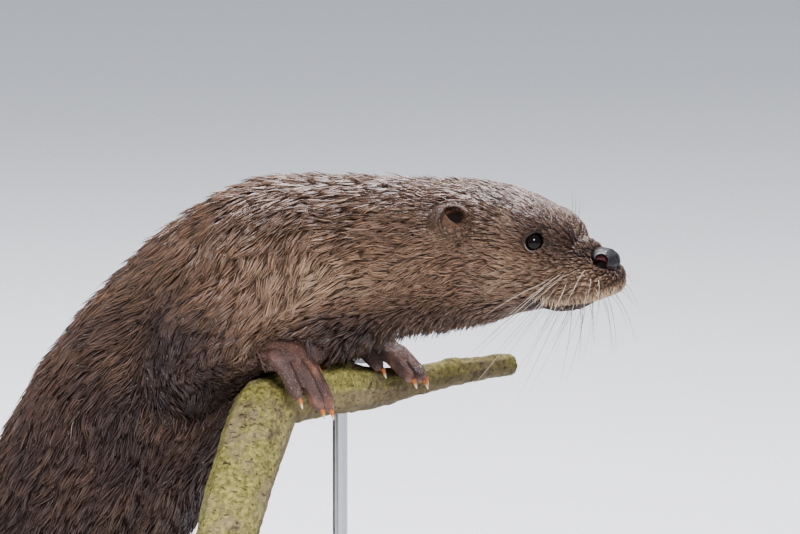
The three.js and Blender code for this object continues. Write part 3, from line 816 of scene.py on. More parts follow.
def paint_skin(mesh, marks, place, bare):
    """Tells the skin's material where the markings, lids, mouth, ears and nostrils are, where shade is
    painted in the ear canals and nostrils, and where a sheen is painted on the lower lids.
    """
    rims = np.minimum(lid_distance(marks, -1)[0], lid_distance(marks, 1)[0])
    mouth = np.exp(-(mouth_gap(marks) / 1.5) ** 2) * smooth_step(146, 156, marks[:, 0])
    cups = [ear_frame(marks, side) for _, side in SIDES]
    cups = [(np.abs(depth) < 17, ear_bowl(ahead, above), ear_canal(ahead, above))
            for _, depth, ahead, above in cups]
    concha = np.maximum(*[smooth_step(1.15, 0.85, bowl) * close for close, bowl, _ in cups])
    # Almost black in the ear canals and on the skin round the nostrils: painted shade in these recesses.
    recess_shade = np.maximum(*[smooth_step(1.40, 0.75, canal) * close for close, _, canal in cups])
    recess_shade = np.maximum(recess_shade, smooth_step(10.0, 8.0, nostril_gap(marks)))
    paint(mesh, "shade", markings(marks, place))
    paint(mesh, "bare", bare)
    # The lids' edges are dark skin; the skin inside them, round the eyeball, is painted as dark, as shade.
    paint(mesh, "lid", smooth_step(0.12, 0.04, rims))
    paint(mesh, "naked", np.maximum(smooth_step(0.9, 0.4, rims), near(marks, 190, 0, 95, 16)))
    # A pale line along the lower lids: painted sheen on their wet edges.
    paint(mesh, "lid_sheen", np.exp(-((rims - 0.10) / 0.05) ** 2) * smooth_step(107.5, 105.5, marks[:, 2]))
    paint(mesh, "mouth", np.clip(mouth, 0, 1))
    paint(mesh, "concha", concha)
    paint(mesh, "recess_shade", recess_shade)
    paint(mesh, "toe", 0.25 + 0.75 * smooth_step(0.80, 0.93, place["limb_along"]))


def build_skin(settings):
    """Fuses the solids of flesh into one skin, sinks it under the coat and shapes it."""
    skin = to_object(merged_nodes(FLESH, FLESH_SWELL), "skin")
    fuse(skin, settings.grain)
    thin_trunk(skin)
    smooth_joins(skin)

    bm = bmesh.new()
    bm.from_mesh(skin.data)
    refine(bm, [mark(EYE["x"], side * EYE["side"], EYE["z"]) for _, side in SIDES], LID_REACH, 2)
    refine(bm, [mark(EAR["x"], side * EAR["side"], EAR["z"]) for _, side in SIDES], EAR_REACH, 1)
    bm.to_mesh(skin.data)
    bm.free()

    points, normals = points_of(skin.data), normals_of(skin.data)
    marks = to_marks(points)
    place = survey(marks)
    bare = bareness(marks, place)
    depths = (settings.face_depth * 0.8, settings.face_depth, settings.coat_depth)
    depth = np.interp(coat_size(marks, place), (0.30, 0.46, 1.0), depths) * (1 - bare)
    points = points - normals * depth[:, None]
    points = shape_body(points, normals, bare)
    points = shape_face(points, normals)
    points = shape_ears(points)
    points = shape_eyelids(points)
    move_to(skin.data, points)
    shade_smooth(skin)
    paint_skin(skin.data, to_marks(points), place, bare)
    dress(skin, skin_material(settings, bpy.context.scene.otter_coat), *FLESH)


def skin_material(settings, coat):
    """The coat's colours under the fur, darkened as the skin's own colour and as painted shade between the
    locks; bare, creased skin on the feet; painted shade in the ear canals, round the nostrils and round the
    eyeballs; a painted sheen on the lower lids.
    """
    material, nodes, shader = new_material("otter skin", Specular_IOR_Level=0.5)
    shade = nodes.number("shade")
    tones = nodes.group(coat_colours(), {"Shade": shade, "Back": coat.back_colour,
                                         "Flank": coat.flank_colour, "Throat": coat.throat_colour})
    # The skin under the coat is darkened, a little more where it is bare round the eyes and nose: partly its
    # own darker colour, partly painted shade in the gaps between the locks.
    deep = nodes.spread(nodes.number("naked"), 0.0, 1.0, 0.88, 1.0)
    under = nodes.mix(deep, tones["Colour"], TINTS["dark_skin_and_gap_shade"], "MULTIPLY")
    blotch = nodes.noise(300, 3)
    knuckle = nodes.math("MULTIPLY", nodes.spread(nodes.noise(75, 3), 0.44, 0.76), nodes.number("toe"))
    paw = nodes.mix(knuckle, settings.paw_colour, settings.knuckle_colour)
    paw = nodes.mix(nodes.spread(blotch, 0.35, 0.75, 0.0, 0.65), paw, TINTS["paw_hollow"])
    colours = nodes.mix(nodes.number("bare"), under, paw)
    colours = nodes.mix(nodes.math("MULTIPLY", nodes.number("mouth"), 0.95), colours, TINTS["mouth_line"])
    colours = nodes.mix(nodes.number("lid"), colours, TINTS["lid_edge"])
    # painted sheen along the lower lids
    colours = nodes.mix(nodes.number("lid_sheen"), colours, TINTS["lid_sheen_tint"])
    down = nodes.mix(nodes.spread(nodes.noise(900, 4), 0.35, 0.65), TINTS["ear_down"], TINTS["ear_down_dark"])
    colours = nodes.mix(nodes.number("concha"), colours, down)
    # Painted shade, almost black, in the ear canals and round the nostrils.
    colours = nodes.mix(nodes.math("MULTIPLY", nodes.number("recess_shade"), 0.97), colours, TINTS["ear_canal"])
    plug(nodes, colours, shader, "Base Color")
    wetness = nodes.spread(nodes.number("bare"), 0.0, 1.0, 0.62, 0.25)
    plug(nodes, nodes.math("ADD", wetness, nodes.math("MULTIPLY", nodes.number("concha"), 0.3)), shader,
         "Roughness")
    wrinkles = nodes.cells(760, "DISTANCE_TO_EDGE")
    creases = nodes.math("MULTIPLY", nodes.spread(wrinkles, 0.0, 0.26, 0.25, 1.0), nodes.number("bare"))
    fuzz = nodes.noise(1500, 3, stretch=(0.4, 1.0, 0.7))
    height = nodes.math("ADD", creases, nodes.math("MULTIPLY", fuzz, 0.7))
    plug(nodes, nodes.bump(height, 0.00045, 0.8), shader, "Normal")
    return material


def coat_colours():
    """The group that turns a point's shade into the colour of skin and coat."""
    found = bpy.data.node_groups.get("coat colours")
    if found:
        return found
    tree = bpy.data.node_groups.new("coat colours", "ShaderNodeTree")
    tree.interface.new_socket("Shade", in_out="INPUT", socket_type="NodeSocketFloat")
    for name in ("Back", "Flank", "Throat"):
        tree.interface.new_socket(name, in_out="INPUT", socket_type="NodeSocketColor")
    tree.interface.new_socket("Colour", in_out="OUTPUT", socket_type="NodeSocketColor")
    nodes = Nodes(tree)
    given = nodes.add("NodeGroupInput").outputs
    lower = nodes.spread(given["Shade"], 0.05, 0.5)
    upper = nodes.spread(given["Shade"], 0.5, 0.95)
    flank = nodes.mix(lower, given["Back"], given["Flank"])
    result = nodes.mix(upper, flank, given["Throat"])
    nodes.add("NodeGroupOutput", {"Colour": result})
    return tree


# ------------------------------------------------------------------ strands: locks and whiskers
PATCH_RADIUS = 0.0015  # half of a strand's patch on the map for baking


def spindle(corners, rings):
    """A rod from z 0 that tapers to a point at z 1: where each point sits in its ring, and the faces."""
    bm = bmesh.new()
    bmesh.ops.create_cone(bm, cap_ends=True, segments=corners, radius1=1, radius2=0, depth=1,
                          matrix=Matrix.Translation((0, 0, 0.5)))
    for ring in range(1, rings):
        bmesh.ops.bisect_plane(bm, geom=bm.verts[:] + bm.edges[:] + bm.faces[:],
                               plane_co=(0, 0, ring / rings), plane_no=(0, 0, 1))
    bmesh.ops.remove_doubles(bm, verts=bm.verts, dist=1e-5)
    bmesh.ops.recalc_face_normals(bm, faces=bm.faces)
    bm.verts.index_update()
    points = np.array([vert.co for vert in bm.verts])
    faces = [[vert.index for vert in face.verts] for face in bm.faces]
    bm.free()
    ring = np.rint(points[:, 2] * rings).astype(int)
    flat = unit(points[:, :2]) * (ring < rings)[:, None]
    first = flat[np.nonzero(ring == 0)[0][0]]
    turn = math.pi / 2 - math.atan2(first[1], first[0])
    spin = np.array(((math.cos(turn), math.sin(turn)), (-math.sin(turn), math.cos(turn))))
    return flat @ spin, ring, faces


def plant(name, shape, lines, sides, ups, widths, heights, numbers, patches):
    """One mesh with a copy of the spindle along each line, and its numbers and its map for baking."""
    around, ring, faces = shape
    count, size = len(lines), len(ring)
    offsets = sides[:, ring] * (around[:, 0] * widths[:, ring] / 2)[..., None]
    offsets = offsets + ups[:, ring] * (around[:, 1] * heights[:, ring] / 2)[..., None]
    points = (lines[:, ring] + offsets).reshape(-1, 3)
    corners = np.array([index for face in faces for index in face])
    starts = np.cumsum([0] + [len(face) for face in faces[:-1]])
    shift = np.arange(count)[:, None]
    loops = (corners[None] + shift * size).ravel()
    mesh = bpy.data.meshes.new(name)
    mesh.vertices.add(len(points))
    mesh.vertices.foreach_set("co", points.ravel())
    mesh.loops.add(len(loops))
    mesh.loops.foreach_set("vertex_index", loops)
    mesh.polygons.add(count * len(faces))
    mesh.polygons.foreach_set("loop_start", (starts[None] + shift * len(corners)).ravel())
    mesh.polygons.foreach_set("use_smooth", [True] * (count * len(faces)))
    mesh.update(calc_edges=True)
    mesh.validate()
    along = np.broadcast_to(ring / ring.max(), (count, size))
    paint(mesh, "along", along.ravel())
    paint(mesh, "across", np.broadcast_to(around[:, 0], (count, size)).ravel())
    for key, value in numbers.items():
        paint(mesh, key, np.repeat(value, size))
    bake = mesh.uv_layers.new(name="OFBake")
    spots = patches[:, None] + PATCH_RADIUS * np.stack((np.broadcast_to(around[:, 0], (count, size)),
                                                  2 * along - 1), axis=2)
    bake.data.foreach_set("uv", spots.reshape(-1, 2)[loops].ravel())
    return new_object(name, mesh)


# The flat map of the skin: a margin, how far the body spans it each way, and a row of limbs above.
MAP_MARGIN = 0.02
BODY_SPAN = (0.96, 0.62)
LIMB_STEP = 0.24
LIMB_SPAN = (0.22, 0.30)
LIMB_ROW = 0.68


def skin_places(marks, place):
    """Where each point lies on a flat map of the skin: along the body or limb, and round it."""
    _, y, z = marks.T
    axis = place["axis"]
    turn = np.arctan2(y - axis[:, 1], -(z - axis[:, 2])) / (2 * math.pi) + 0.5
    u = MAP_MARGIN + BODY_SPAN[0] * place["along"]
    v = MAP_MARGIN + BODY_SPAN[1] * turn
    for region, (line, _) in enumerate(LIMBS, 1):
        on = place["region"] == region
        samples, _ = curve_through(line, LIMB_SAMPLES)
        near_line = samples[np.rint(place["limb_along"][on] * (LIMB_SAMPLES - 1)).astype(int)]
        round_limb = np.arctan2(y[on] - near_line[:, 1], z[on] - near_line[:, 2]) / (2 * math.pi) + 0.5
        u[on] = MAP_MARGIN + LIMB_STEP * (region - 1) + LIMB_SPAN[0] * place["limb_along"][on]
        v[on] = LIMB_ROW + LIMB_SPAN[1] * round_limb
    return np.column_stack((u, v))


# ------------------------------------------------------------------ coat
LOCK_CORNERS = 3
LOCK_RINGS = 3
# From a lock's root to its tip: how high it lies over the skin, how far it is drawn to its leader, and
# its width and height as shares of its full width.
LOCK_RISE = (-0.0003, 0.0009, 0.0013, 0.0008)
LOCK_PULL = (0.0, 0.30, 0.74, 1.0)
LOCK_WIDTHS = (0.80, 1.0, 0.72, 0.0)
LOCK_HEIGHTS = (0.45, 0.62, 0.50, 0.0)
LOCK_HANG = (-0.12, 0.0, -1.0)  # the way that a free tip hangs
LOCKS_IN_A_PIECE = 12000  # a lock has 16 triangles, so a piece stays under 200,000


def scatter(skin, rng, settings):
    """Evenly spread roots on the skin, closer together where the coat is short."""
    mesh = skin.data
    mesh.calc_loop_triangles()
    triangles = np.empty(len(mesh.loop_triangles) * 3, dtype=int)
    mesh.loop_triangles.foreach_get("vertices", triangles)
    corners = points_of(mesh)[triangles.reshape(-1, 3)]
    normals = normals_of(mesh)[triangles.reshape(-1, 3)]
    middle = to_marks(corners.mean(1))
    place = survey(middle)
    spacing = np.interp(coat_size(middle, place), (0.27, 0.6, 1.0), (0.44, 0.66, 1.0))
    spacing *= np.interp(place["along"], (0.40, 0.55), (0.92, 1.10))
    area = np.linalg.norm(np.cross(corners[:, 1] - corners[:, 0], corners[:, 2] - corners[:, 0]), axis=1) / 2
    wanted = area / (settings.spacing * spacing) ** 2
    total = int(wanted.sum() * 3)
    chosen = rng.choice(len(area), total, p=wanted / wanted.sum())
    a, b = rng.random(total), rng.random(total)
    fold = a + b > 1
    a[fold], b[fold] = 1 - a[fold], 1 - b[fold]
    weights = np.column_stack((1 - a - b, a, b))[..., None]
    roots = (corners[chosen] * weights).sum(1)
    lie = unit((normals[chosen] * weights).sum(1))
    level = np.rint(np.log2(spacing[chosen] * 4) * 2).astype(int)
    cell = settings.spacing * 2.0 ** (level / 2) / 4 * 1.12
    cells = np.floor(roots / cell[:, None]).astype(int)
    _, kept = np.unique(np.column_stack((cells, level)), axis=0, return_index=True)
    return roots[kept], lie[kept]


def keep_clear(marks, place):
    """True where the coat grows: not on the feet, lids, lips, nose or in the ears."""
    x, y, z = marks.T
    clear = bareness(marks, place) < 0.5
    for side in (-1, 1):
        clear &= lid_distance(marks, side)[0] > 0.13
    clear &= ~((mouth_gap(marks) < 0.7) & (x > 150))
    nose = np.sqrt(((x - 190) / 9) ** 2 + (y / 13.5) ** 2 + ((z - 94.2) / 10.5) ** 2)
    clear &= nose > 0.88
    for side in (-1, 1):
        _, depth, ahead, above = ear_frame(marks, side)
        clear &= ~((ear_bowl(ahead, above) < 0.90) & (np.abs(depth) < 16))
    return clear


def surface_finder(skin):
    """A function that drops points onto the skin and tells the skin's normal there."""
    mesh = skin.data
    points, normals = points_of(mesh), normals_of(mesh)
    faces = [tuple(face.vertices) for face in mesh.polygons]
    smooth = unit(np.array([normals[list(face)].sum(0) for face in faces]))
    tree = BVHTree.FromPolygons([tuple(point) for point in points.tolist()], faces)

    def drop(wanted):
        places = np.empty_like(wanted)
        lie = np.empty_like(wanted)
        for index, point in enumerate(wanted.tolist()):
            spot, _, face, _ = tree.find_nearest(point)
            places[index] = spot
            lie[index] = smooth[face]
        return places, lie
    return drop


def comb(skin, settings):
    """Every lock of the coat: its middle line on the skin, its size and its colour."""
    rng = np.random.default_rng(settings.seed)
    roots, lie = scatter(skin, rng, settings)
    marks = to_marks(roots)
    place = survey(marks)
    grows = keep_clear(marks, place)
    roots, lie, marks = roots[grows], lie[grows], marks[grows]
    place = {key: value[grows] for key, value in place.items()}
    count = len(roots)
    size = coat_size(marks, place)
    flow = coat_flow(marks, place, lie)
    jitter = rng.normal(0, 0.13, (count, 1))
    flow = unit(flow + np.cross(lie, flow) * jitter)
    lengths = settings.lock_length * size ** 1.25 * rng.uniform(0.75, 1.25, count)

    # Wet locks cling together in points: each leans to the lock that leads its clump.
    order = rng.permutation(count)
    clump = 0.0026 + 0.0046 * size
    cells = np.floor((roots[order] + 0.01) / clump[order][:, None]).astype(int)
    level = np.rint(size[order] * 5).astype(int)
    _, leads = np.unique(np.column_stack((cells, level)), axis=0, return_index=True)
    leads = order[leads]
    tree = KDTree(len(leads))
    for index, lead in enumerate(leads):
        tree.insert(roots[lead], index)
    tree.balance()
    leader = np.empty(count, dtype=int)
    apart = np.empty(count)
    for index, root in enumerate(roots):
        _, which, gap = tree.find(root)
        leader[index] = leads[which]
        apart[index] = gap
    apart = apart / clump
    cling = rng.uniform(0.55, 0.95, count)

    drop = surface_finder(skin)
    bend = np.cross(lie, flow) * rng.normal(0, 0.13, (count, 1))
    free = hanging(marks, lie)
    elbow = near(folded(marks), -46, 64, 8, 12)
    lengths = lengths * (1 + 0.9 * elbow * rng.random(count))
    lines = np.empty((count, LOCK_RINGS + 1, 3))
    down = np.array(LOCK_HANG)
    ups = np.empty_like(lines)
    lift = rng.uniform(0.8, 1.2, count) * (size + 0.35 * smooth_step(150, 180, marks[:, 0]))
    astray = rng.uniform(1.0, 4.0, count) * (rng.random(count) < 0.10) * smooth_step(0.5, 0.9, size)
    for ring in range(LOCK_RINGS + 1):
        share = ring / LOCK_RINGS
        own = roots + flow * (lengths * share)[:, None] + bend * (lengths * share ** 2)[:, None]
        led = roots[leader] + flow[leader] * (lengths[leader] * (share * 1.05))[:, None]
        led = led + bend[leader] * (lengths[leader] * share ** 2)[:, None]
        mixed = own + (led - own) * (LOCK_PULL[ring] * cling)[:, None]
        spots, up = drop(mixed)
        own = roots + down * (lengths * share)[:, None]
        led = roots[leader] + down * (lengths[leader] * share)[:, None]
        loose = own + (led - own) * (LOCK_PULL[ring] * cling)[:, None]
        spots = spots + (loose - spots) * (free * share ** 0.7)[:, None]
        ups[:, ring] = up
        ridge = 1.0 + 0.9 * np.clip(1 - apart * 1.6, 0, 1) * share
        rise = LOCK_RISE[ring] * lift * ridge + astray * share ** 2 * MM
        lines[:, ring] = spots + up * rise[:, None]
    heading = unit(np.gradient(lines, axis=1))
    sides = unit(np.cross(heading, ups))
    ups = unit(np.cross(sides, heading))
    roll = rng.normal(0, 0.25, (count, 1, 1))
    ups, sides = ups * np.cos(roll) + sides * np.sin(roll), sides * np.cos(roll) - ups * np.sin(roll)
    width = settings.lock_width * (0.26 + 0.74 * size) * rng.uniform(0.75, 1.3, count)
    widths = width[:, None] * np.array(LOCK_WIDTHS)
    heights = width[:, None] * np.array(LOCK_HEIGHTS)
    tones = markings(marks, place) + rng.normal(0, 0.035, count)
    tones += 0.10 * ripple(marks, 2.4, 77) * smooth_step(158, 172, marks[:, 0])
    chance = rng.random(count)
    numbers = {"shade": np.clip(tones, 0, 1), "seed": 0.5 * chance + 0.5 * chance[leader]}
    return {"lines": lines, "sides": sides, "ups": ups, "widths": widths, "heights": heights,
            "numbers": numbers, "patches": skin_places(marks, place), "marks": marks, "place": place}


def coat_pieces(coat):
    """Splits the locks into named pieces that each stay small enough to export."""
    along, region = coat["place"]["along"], coat["place"]["region"]
    left = coat["marks"][:, 1] > 0
    pieces = {}
    for name, low, high in (("muzzle", -1, 0.085), ("face", 0.085, 0.135), ("crown", 0.135, 0.19),
                            ("neck", 0.19, 0.27), ("collar", 0.27, 0.335), ("chest", 0.335, 0.41),
                            ("ribs", 0.41, 0.49), ("belly", 0.49, 0.58), ("rump", 0.58, 0.70),
                            ("tail", 0.70, 2)):
        for side in ("right", "left"):
            pieces[f"coat_{name}_{side}"] = ((region == 0) & (along >= low) & (along < high)
                                             & (left == (side == "left")))
    for number, name in enumerate(("arm_right", "arm_left", "leg_right", "leg_left"), 1):
        pieces[f"coat_{name}"] = region == number
    return {name: np.nonzero(chosen)[0] for name, chosen in pieces.items() if chosen.any()}


def coat_material(settings):
    """Wet, glossy locks, each a little darker or paler than the next, with painted shade towards their roots
    and painted glints on a few.
    """
    material, nodes, shader = new_material("otter coat", Roughness=0.30, Specular_IOR_Level=0.55,
                                           Coat_Weight=0.34, Coat_Roughness=0.16)
    tones = nodes.group(coat_colours(), {"Shade": nodes.number("shade"), "Back": settings.back_colour,
                                         "Flank": settings.flank_colour,
                                         "Throat": settings.throat_colour})["Colour"]
    seed = nodes.number("seed")
    along = nodes.number("along")
    # Each lock darkens towards its root: painted shade down in the coat.
    darker = nodes.mix(nodes.spread(along, 0.0, 0.6, 0.85, 0.0), tones, TINTS["lock_root_shade"], "MULTIPLY")
    varied = nodes.mix(nodes.spread(seed, 0.15, 0.85, 0.0, 0.62), darker, TINTS["lock_dark"], "MULTIPLY")
    # A few locks are made paler: painted glints on the wet coat.
    chance = nodes.math("FRACT", nodes.math("MULTIPLY", seed, 7.13))
    glinting = nodes.mix(nodes.spread(chance, 0.86, 1.0, 0.0, 0.5), varied, TINTS["lock_glint"], "MULTIPLY")
    plug(nodes, glinting, shader, "Base Color")
    strands = nodes.math("SINE", nodes.math("ADD", nodes.math("MULTIPLY", nodes.number("across"), 11.0),
                                            nodes.math("MULTIPLY", seed, 40.0)))
    plug(nodes, nodes.bump(strands, 0.00012, 0.5), shader, "Normal")
    return material


def build_coat(settings, skin):
    """Plants the locks on the skin, piece by piece, and keeps them above the base."""
    coat = comb(skin, settings)
    board_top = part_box("stand_base")[1].z
    lines = coat["lines"]
    lines[..., 2] = np.maximum(lines[..., 2], board_top + 0.0004)
    material = coat_material(settings)
    shape = spindle(LOCK_CORNERS, LOCK_RINGS)
    for name, chosen in coat_pieces(coat).items():
        if len(chosen) > LOCKS_IN_A_PIECE:
            raise RuntimeError(f"{name} has {len(chosen)} locks, too many for one piece")
        numbers = {key: value[chosen] for key, value in coat["numbers"].items()}
        piece = plant(name, shape, lines[chosen], coat["sides"][chosen], coat["ups"][chosen],
                      coat["widths"][chosen], coat["heights"][chosen], numbers, coat["patches"][chosen])
        dress(piece, material)


# ------------------------------------------------------------------ eyes, nose, claws and whiskers
NOSE_GRAIN = 0.00045
CLAW_GRAIN = 0.00028
CLAW_SWELL = 0.00008
CLAW_SCALE = 0.86  # a claw's size as a share of its solid's
WHISKER_CORNERS = 6
WHISKER_RINGS = 9
WHISKER_SEED = 23
# The long hairs over the eyes and on the cheeks: root, the way it points, and its length.
FACE_HAIRS = (((163, 17, 116), (0.05, 0.35, 1), 19), ((160, 19, 117), (-0.15, 0.5, 1), 17),
              ((166, 15, 115), (0.15, 0.25, 1), 15), ((146, 36, 92), (-0.5, 1, -0.1), 21),
              ((142, 36, 87), (-0.6, 1, -0.35), 24), ((139, 37, 82), (-0.6, 1, -0.6), 18))


def build_eyes(settings):
    """Makes the two dark eyeballs."""
    material, _, shader = new_material("eye", Roughness=0.05, Specular_IOR_Level=0.3)
    shader.inputs["Base Color"].default_value = (*settings.eye_colour, 1)
    for name, side in SIDES:
        bm = bmesh.new()
        bmesh.ops.create_uvsphere(bm, u_segments=48, v_segments=32, radius=EYE["radius"] * MM)
        bmesh.ops.translate(bm, verts=bm.verts, vec=mark(EYE["x"], side * EYE["side"], EYE["z"]))
        eye = to_object(bm, f"eyeball_{name}")
        shade_smooth(eye)
        dress(eye, material, f"eye_{name}", slot="eyeball")


def build_nose(settings):
    """Makes the wet nose pad, with its nostrils and its pebbled leather."""
    nose = to_object(merged_nodes(("nose_pad",)), "nose")
    fuse(nose, NOSE_GRAIN)
    relax(nose, 14)
    points, normals = points_of(nose.data), normals_of(nose.data)
    marks = to_marks(points)
    x, y, _ = marks.T
    rise = np.zeros(len(points))
    raise_forms(rise, folded(marks), NOSE_FORMS)
    rise -= 0.9 * np.exp(-(y / 0.9) ** 2) * smooth_step(192, 197, x)
    points = points + normals * (rise * MM)[:, None]
    slit = np.zeros(len(points))
    for _, side in SIDES:
        out = unit(np.array((0.42, side * 0.90, 0.08)))
        away = to_marks(points) - np.array((NOSTRIL["x"], side * NOSTRIL["side"], NOSTRIL["z"]))
        depth = away @ out
        flat = away - out * depth[:, None]
        across = np.linalg.norm(flat, axis=1)
        across = np.where(flat[:, 2] > 0, across * 0.92, across)
        facing = (depth > -5) & (y * side > 1.5)
        bore = smooth_step(3.9, 2.6, across) * facing
        lip = np.exp(-((across - 4.5) / 0.9) ** 2) * facing
        points = points - out[None] * ((4.2 * bore - 0.75 * lip) * MM)[:, None]
        slit = np.maximum(slit, bore)
    move_to(nose.data, points)
    relax(nose, 1)
    shade_smooth(nose)
    paint(nose.data, "slit", slit)
    material, nodes, shader = new_material("nose leather", Roughness=0.50, Specular_IOR_Level=0.35,
                                           Coat_Weight=0.26, Coat_Roughness=0.13)
    tint = nodes.mix(nodes.spread(nodes.noise(260, 4), 0.35, 0.7), settings.nose_colour,
                     TINTS["nose_grey"])
    tint = nodes.mix(nodes.spread(nodes.number("slit"), 0.15, 0.8), tint, TINTS["nostril"])
    plug(nodes, tint, shader, "Base Color")
    pebbles = nodes.cells(1300, "F1")
    plug(nodes, nodes.bump(nodes.math("SUBTRACT", 1.0, pebbles), 0.00042, 0.7), shader, "Normal")
    dress(nose, material, "nose_pad", slot="nose_leather")


def build_claws(settings):
    """Makes the claws, in one piece for each foot."""
    order = ("first", "second", "third", "fourth", "fifth")
    material, nodes, shader = new_material("claw horn", Roughness=0.28, Specular_IOR_Level=0.55,
                                           Coat_Weight=0.4, Coat_Roughness=0.15,
                                           Subsurface_Weight=0.12, Subsurface_Scale=0.002)
    streak = nodes.noise(900, 3)
    horn = nodes.mix(nodes.spread(streak, 0.35, 0.7), settings.claw_colour, TINTS["claw_streak"])
    horn = nodes.mix(nodes.spread(nodes.number("point"), 0.50, 0.82), horn, TINTS["claw_tip"])
    horn = nodes.mix(nodes.spread(nodes.number("point"), 0.25, 0.0), horn, TINTS["claw_root"])
    plug(nodes, horn, shader, "Base Color")
    plug(nodes, nodes.bump(streak, 0.0002, 0.4), shader, "Normal")
    for paw in ("foreclaw", "hindclaw"):
        for side, _ in SIDES:
            names = tuple(f"{paw}_{side}_{number}" for number in order)
            claws = bmesh.new()
            for name in names:
                low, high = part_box(name)
                root = Vector((low.x, (low.y + high.y) / 2, high.z))
                claw = merged_nodes((name,), CLAW_SWELL)
                bmesh.ops.transform(claw, verts=claw.verts, matrix=Matrix.Scale(CLAW_SCALE, 4),
                                    space=Matrix.Translation(-root))
                mesh = bpy.data.meshes.new("claw")
                claw.to_mesh(mesh)
                claw.free()
                claws.from_mesh(mesh)
                bpy.data.meshes.remove(mesh)
            claws = to_object(claws, f"{paw}s_{side}")
            fuse(claws, CLAW_GRAIN)
            relax(claws, 3)
            points = points_of(claws.data)
            tip = np.zeros(len(points))
            for name in names:
                low, high = (np.array(corner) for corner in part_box(name))
                inside = ((points > low - 0.0008) & (points < high + 0.0008)).all(1)
                tip[inside] = (high[2] - points[inside, 2]) / (CLAW_SCALE * (high[2] - low[2]))
            paint(claws.data, "point", tip)
            shade_smooth(claws)
            dress(claws, material, *names, slot="claw_horn")


def whisker_lines(rng, settings):
    """The middle lines of the whiskers, brow hairs and chin hairs, as landmarks."""
    hairs = []
    for side in (-1, 1):
        for row in range(5):
            for column in range(7):
                if row == 0 and column in (0, 1, 6):
                    continue
                back = column / 6
                root = (192 - 27 * back - 1.2 * row, side * (15 + 7.5 * back + 0.9 * row),
                        88.0 - 3.0 * row - 1.0 * back)
                by_column = 0.38 + 0.62 * min(1, 0.2 + back)
                reach = settings.whisker_length / MM * by_column * (0.40 + 0.13 * row)
                reach *= rng.uniform(0.8, 1.15)
                away = unit(np.array((0.55 - 1.25 * back + rng.normal(0, 0.09), side * (0.95 - 0.12 * row),
                                      -0.18 - 0.17 * row + rng.normal(0, 0.08))))
                droop = np.array((-0.35 - 0.4 * back, 0, -0.85)) * rng.uniform(0.7, 1.2)
                hairs.append((root, away, droop, reach, 1.0))
        for root, away, reach in FACE_HAIRS:
            root = (root[0], side * root[1], root[2])
            away = unit(np.array((away[0], side * away[1], away[2])) + rng.normal(0, 0.05, 3))
            hairs.append((root, away, np.array((-0.4, 0, -0.15)), reach, 0.6))
        for step in range(7):
            root = (186 - 6 * step, side * (5 + 1.6 * step), 70.5 - 0.7 * step)
            away = unit(np.array((-0.1 - 0.06 * step, side * 0.55, -1)) + rng.normal(0, 0.08, 3))
            hairs.append((root, away, np.array((-0.5, 0, -0.1)), rng.uniform(12, 21), 0.6))
    return hairs


def build_whiskers(settings, skin):
    """Plants the whiskers and the other long hairs of the face on the skin."""
    rng = np.random.default_rng(WHISKER_SEED)
    hairs = whisker_lines(rng, settings)
    drop = surface_finder(skin)
    spots, _ = drop(np.array([mark(*hair[0]) for hair in hairs]))
    lines = np.empty((len(hairs), WHISKER_RINGS + 1, 3))
    for index, (_, away, droop, reach, _) in enumerate(hairs):
        for ring in range(WHISKER_RINGS + 1):
            share = ring / WHISKER_RINGS
            lines[index, ring] = spots[index] + (away * share + droop * 0.42 * share ** 2.2) * reach * MM
        lines[index] -= away * 0.0006
    heading = unit(np.gradient(lines, axis=1))
    ups = np.broadcast_to(np.array((0.1, 0.2, 1.0)), heading.shape)
    sides = unit(np.cross(heading, ups))
    ups = unit(np.cross(sides, heading))
    thick = settings.whisker_width * np.array([hair[4] for hair in hairs])
    taper = np.linspace(1, 0.18, WHISKER_RINGS + 1)
    taper[-1] = 0
    widths = thick[:, None] * taper
    patches = np.column_stack((np.linspace(0.02, 0.98, len(hairs)), np.full(len(hairs), 0.03)))
    numbers = {"seed": rng.random(len(hairs))}
    shape = spindle(WHISKER_CORNERS, WHISKER_RINGS)
    piece = plant("whiskers", shape, lines, sides, ups, widths, widths, numbers, patches)
    material, nodes, shader = new_material("whisker", Roughness=0.22, Specular_IOR_Level=0.6,
                                           Coat_Weight=0.3, Coat_Roughness=0.1)
    paler = nodes.spread(nodes.number("seed"), 0.3, 0.8)
    tint = nodes.mix(paler, TINTS["whisker_dark"], TINTS["whisker_pale"])
    plug(nodes, tint, shader, "Base Color")
    dress(piece, material, slot="pale_fur")


# ------------------------------------------------------------------ branch and stand
BRANCH_GRAIN = 0.0009
BRANCH_SWELL = 0.0003
BOARD_EDGE = 0.0022
SHARP_ANGLE = math.radians(35)


def crust(marks, stretch, octaves):
    """A rough natural pattern at each point, drawn out where the stretch is small."""
    spots = (Vector((x * stretch[0], y * stretch[1], z * stretch[2])) for x, y, z in marks.tolist())
    return np.array([noise.fractal(spot, 0.8, 2.1, octaves) for spot in spots])


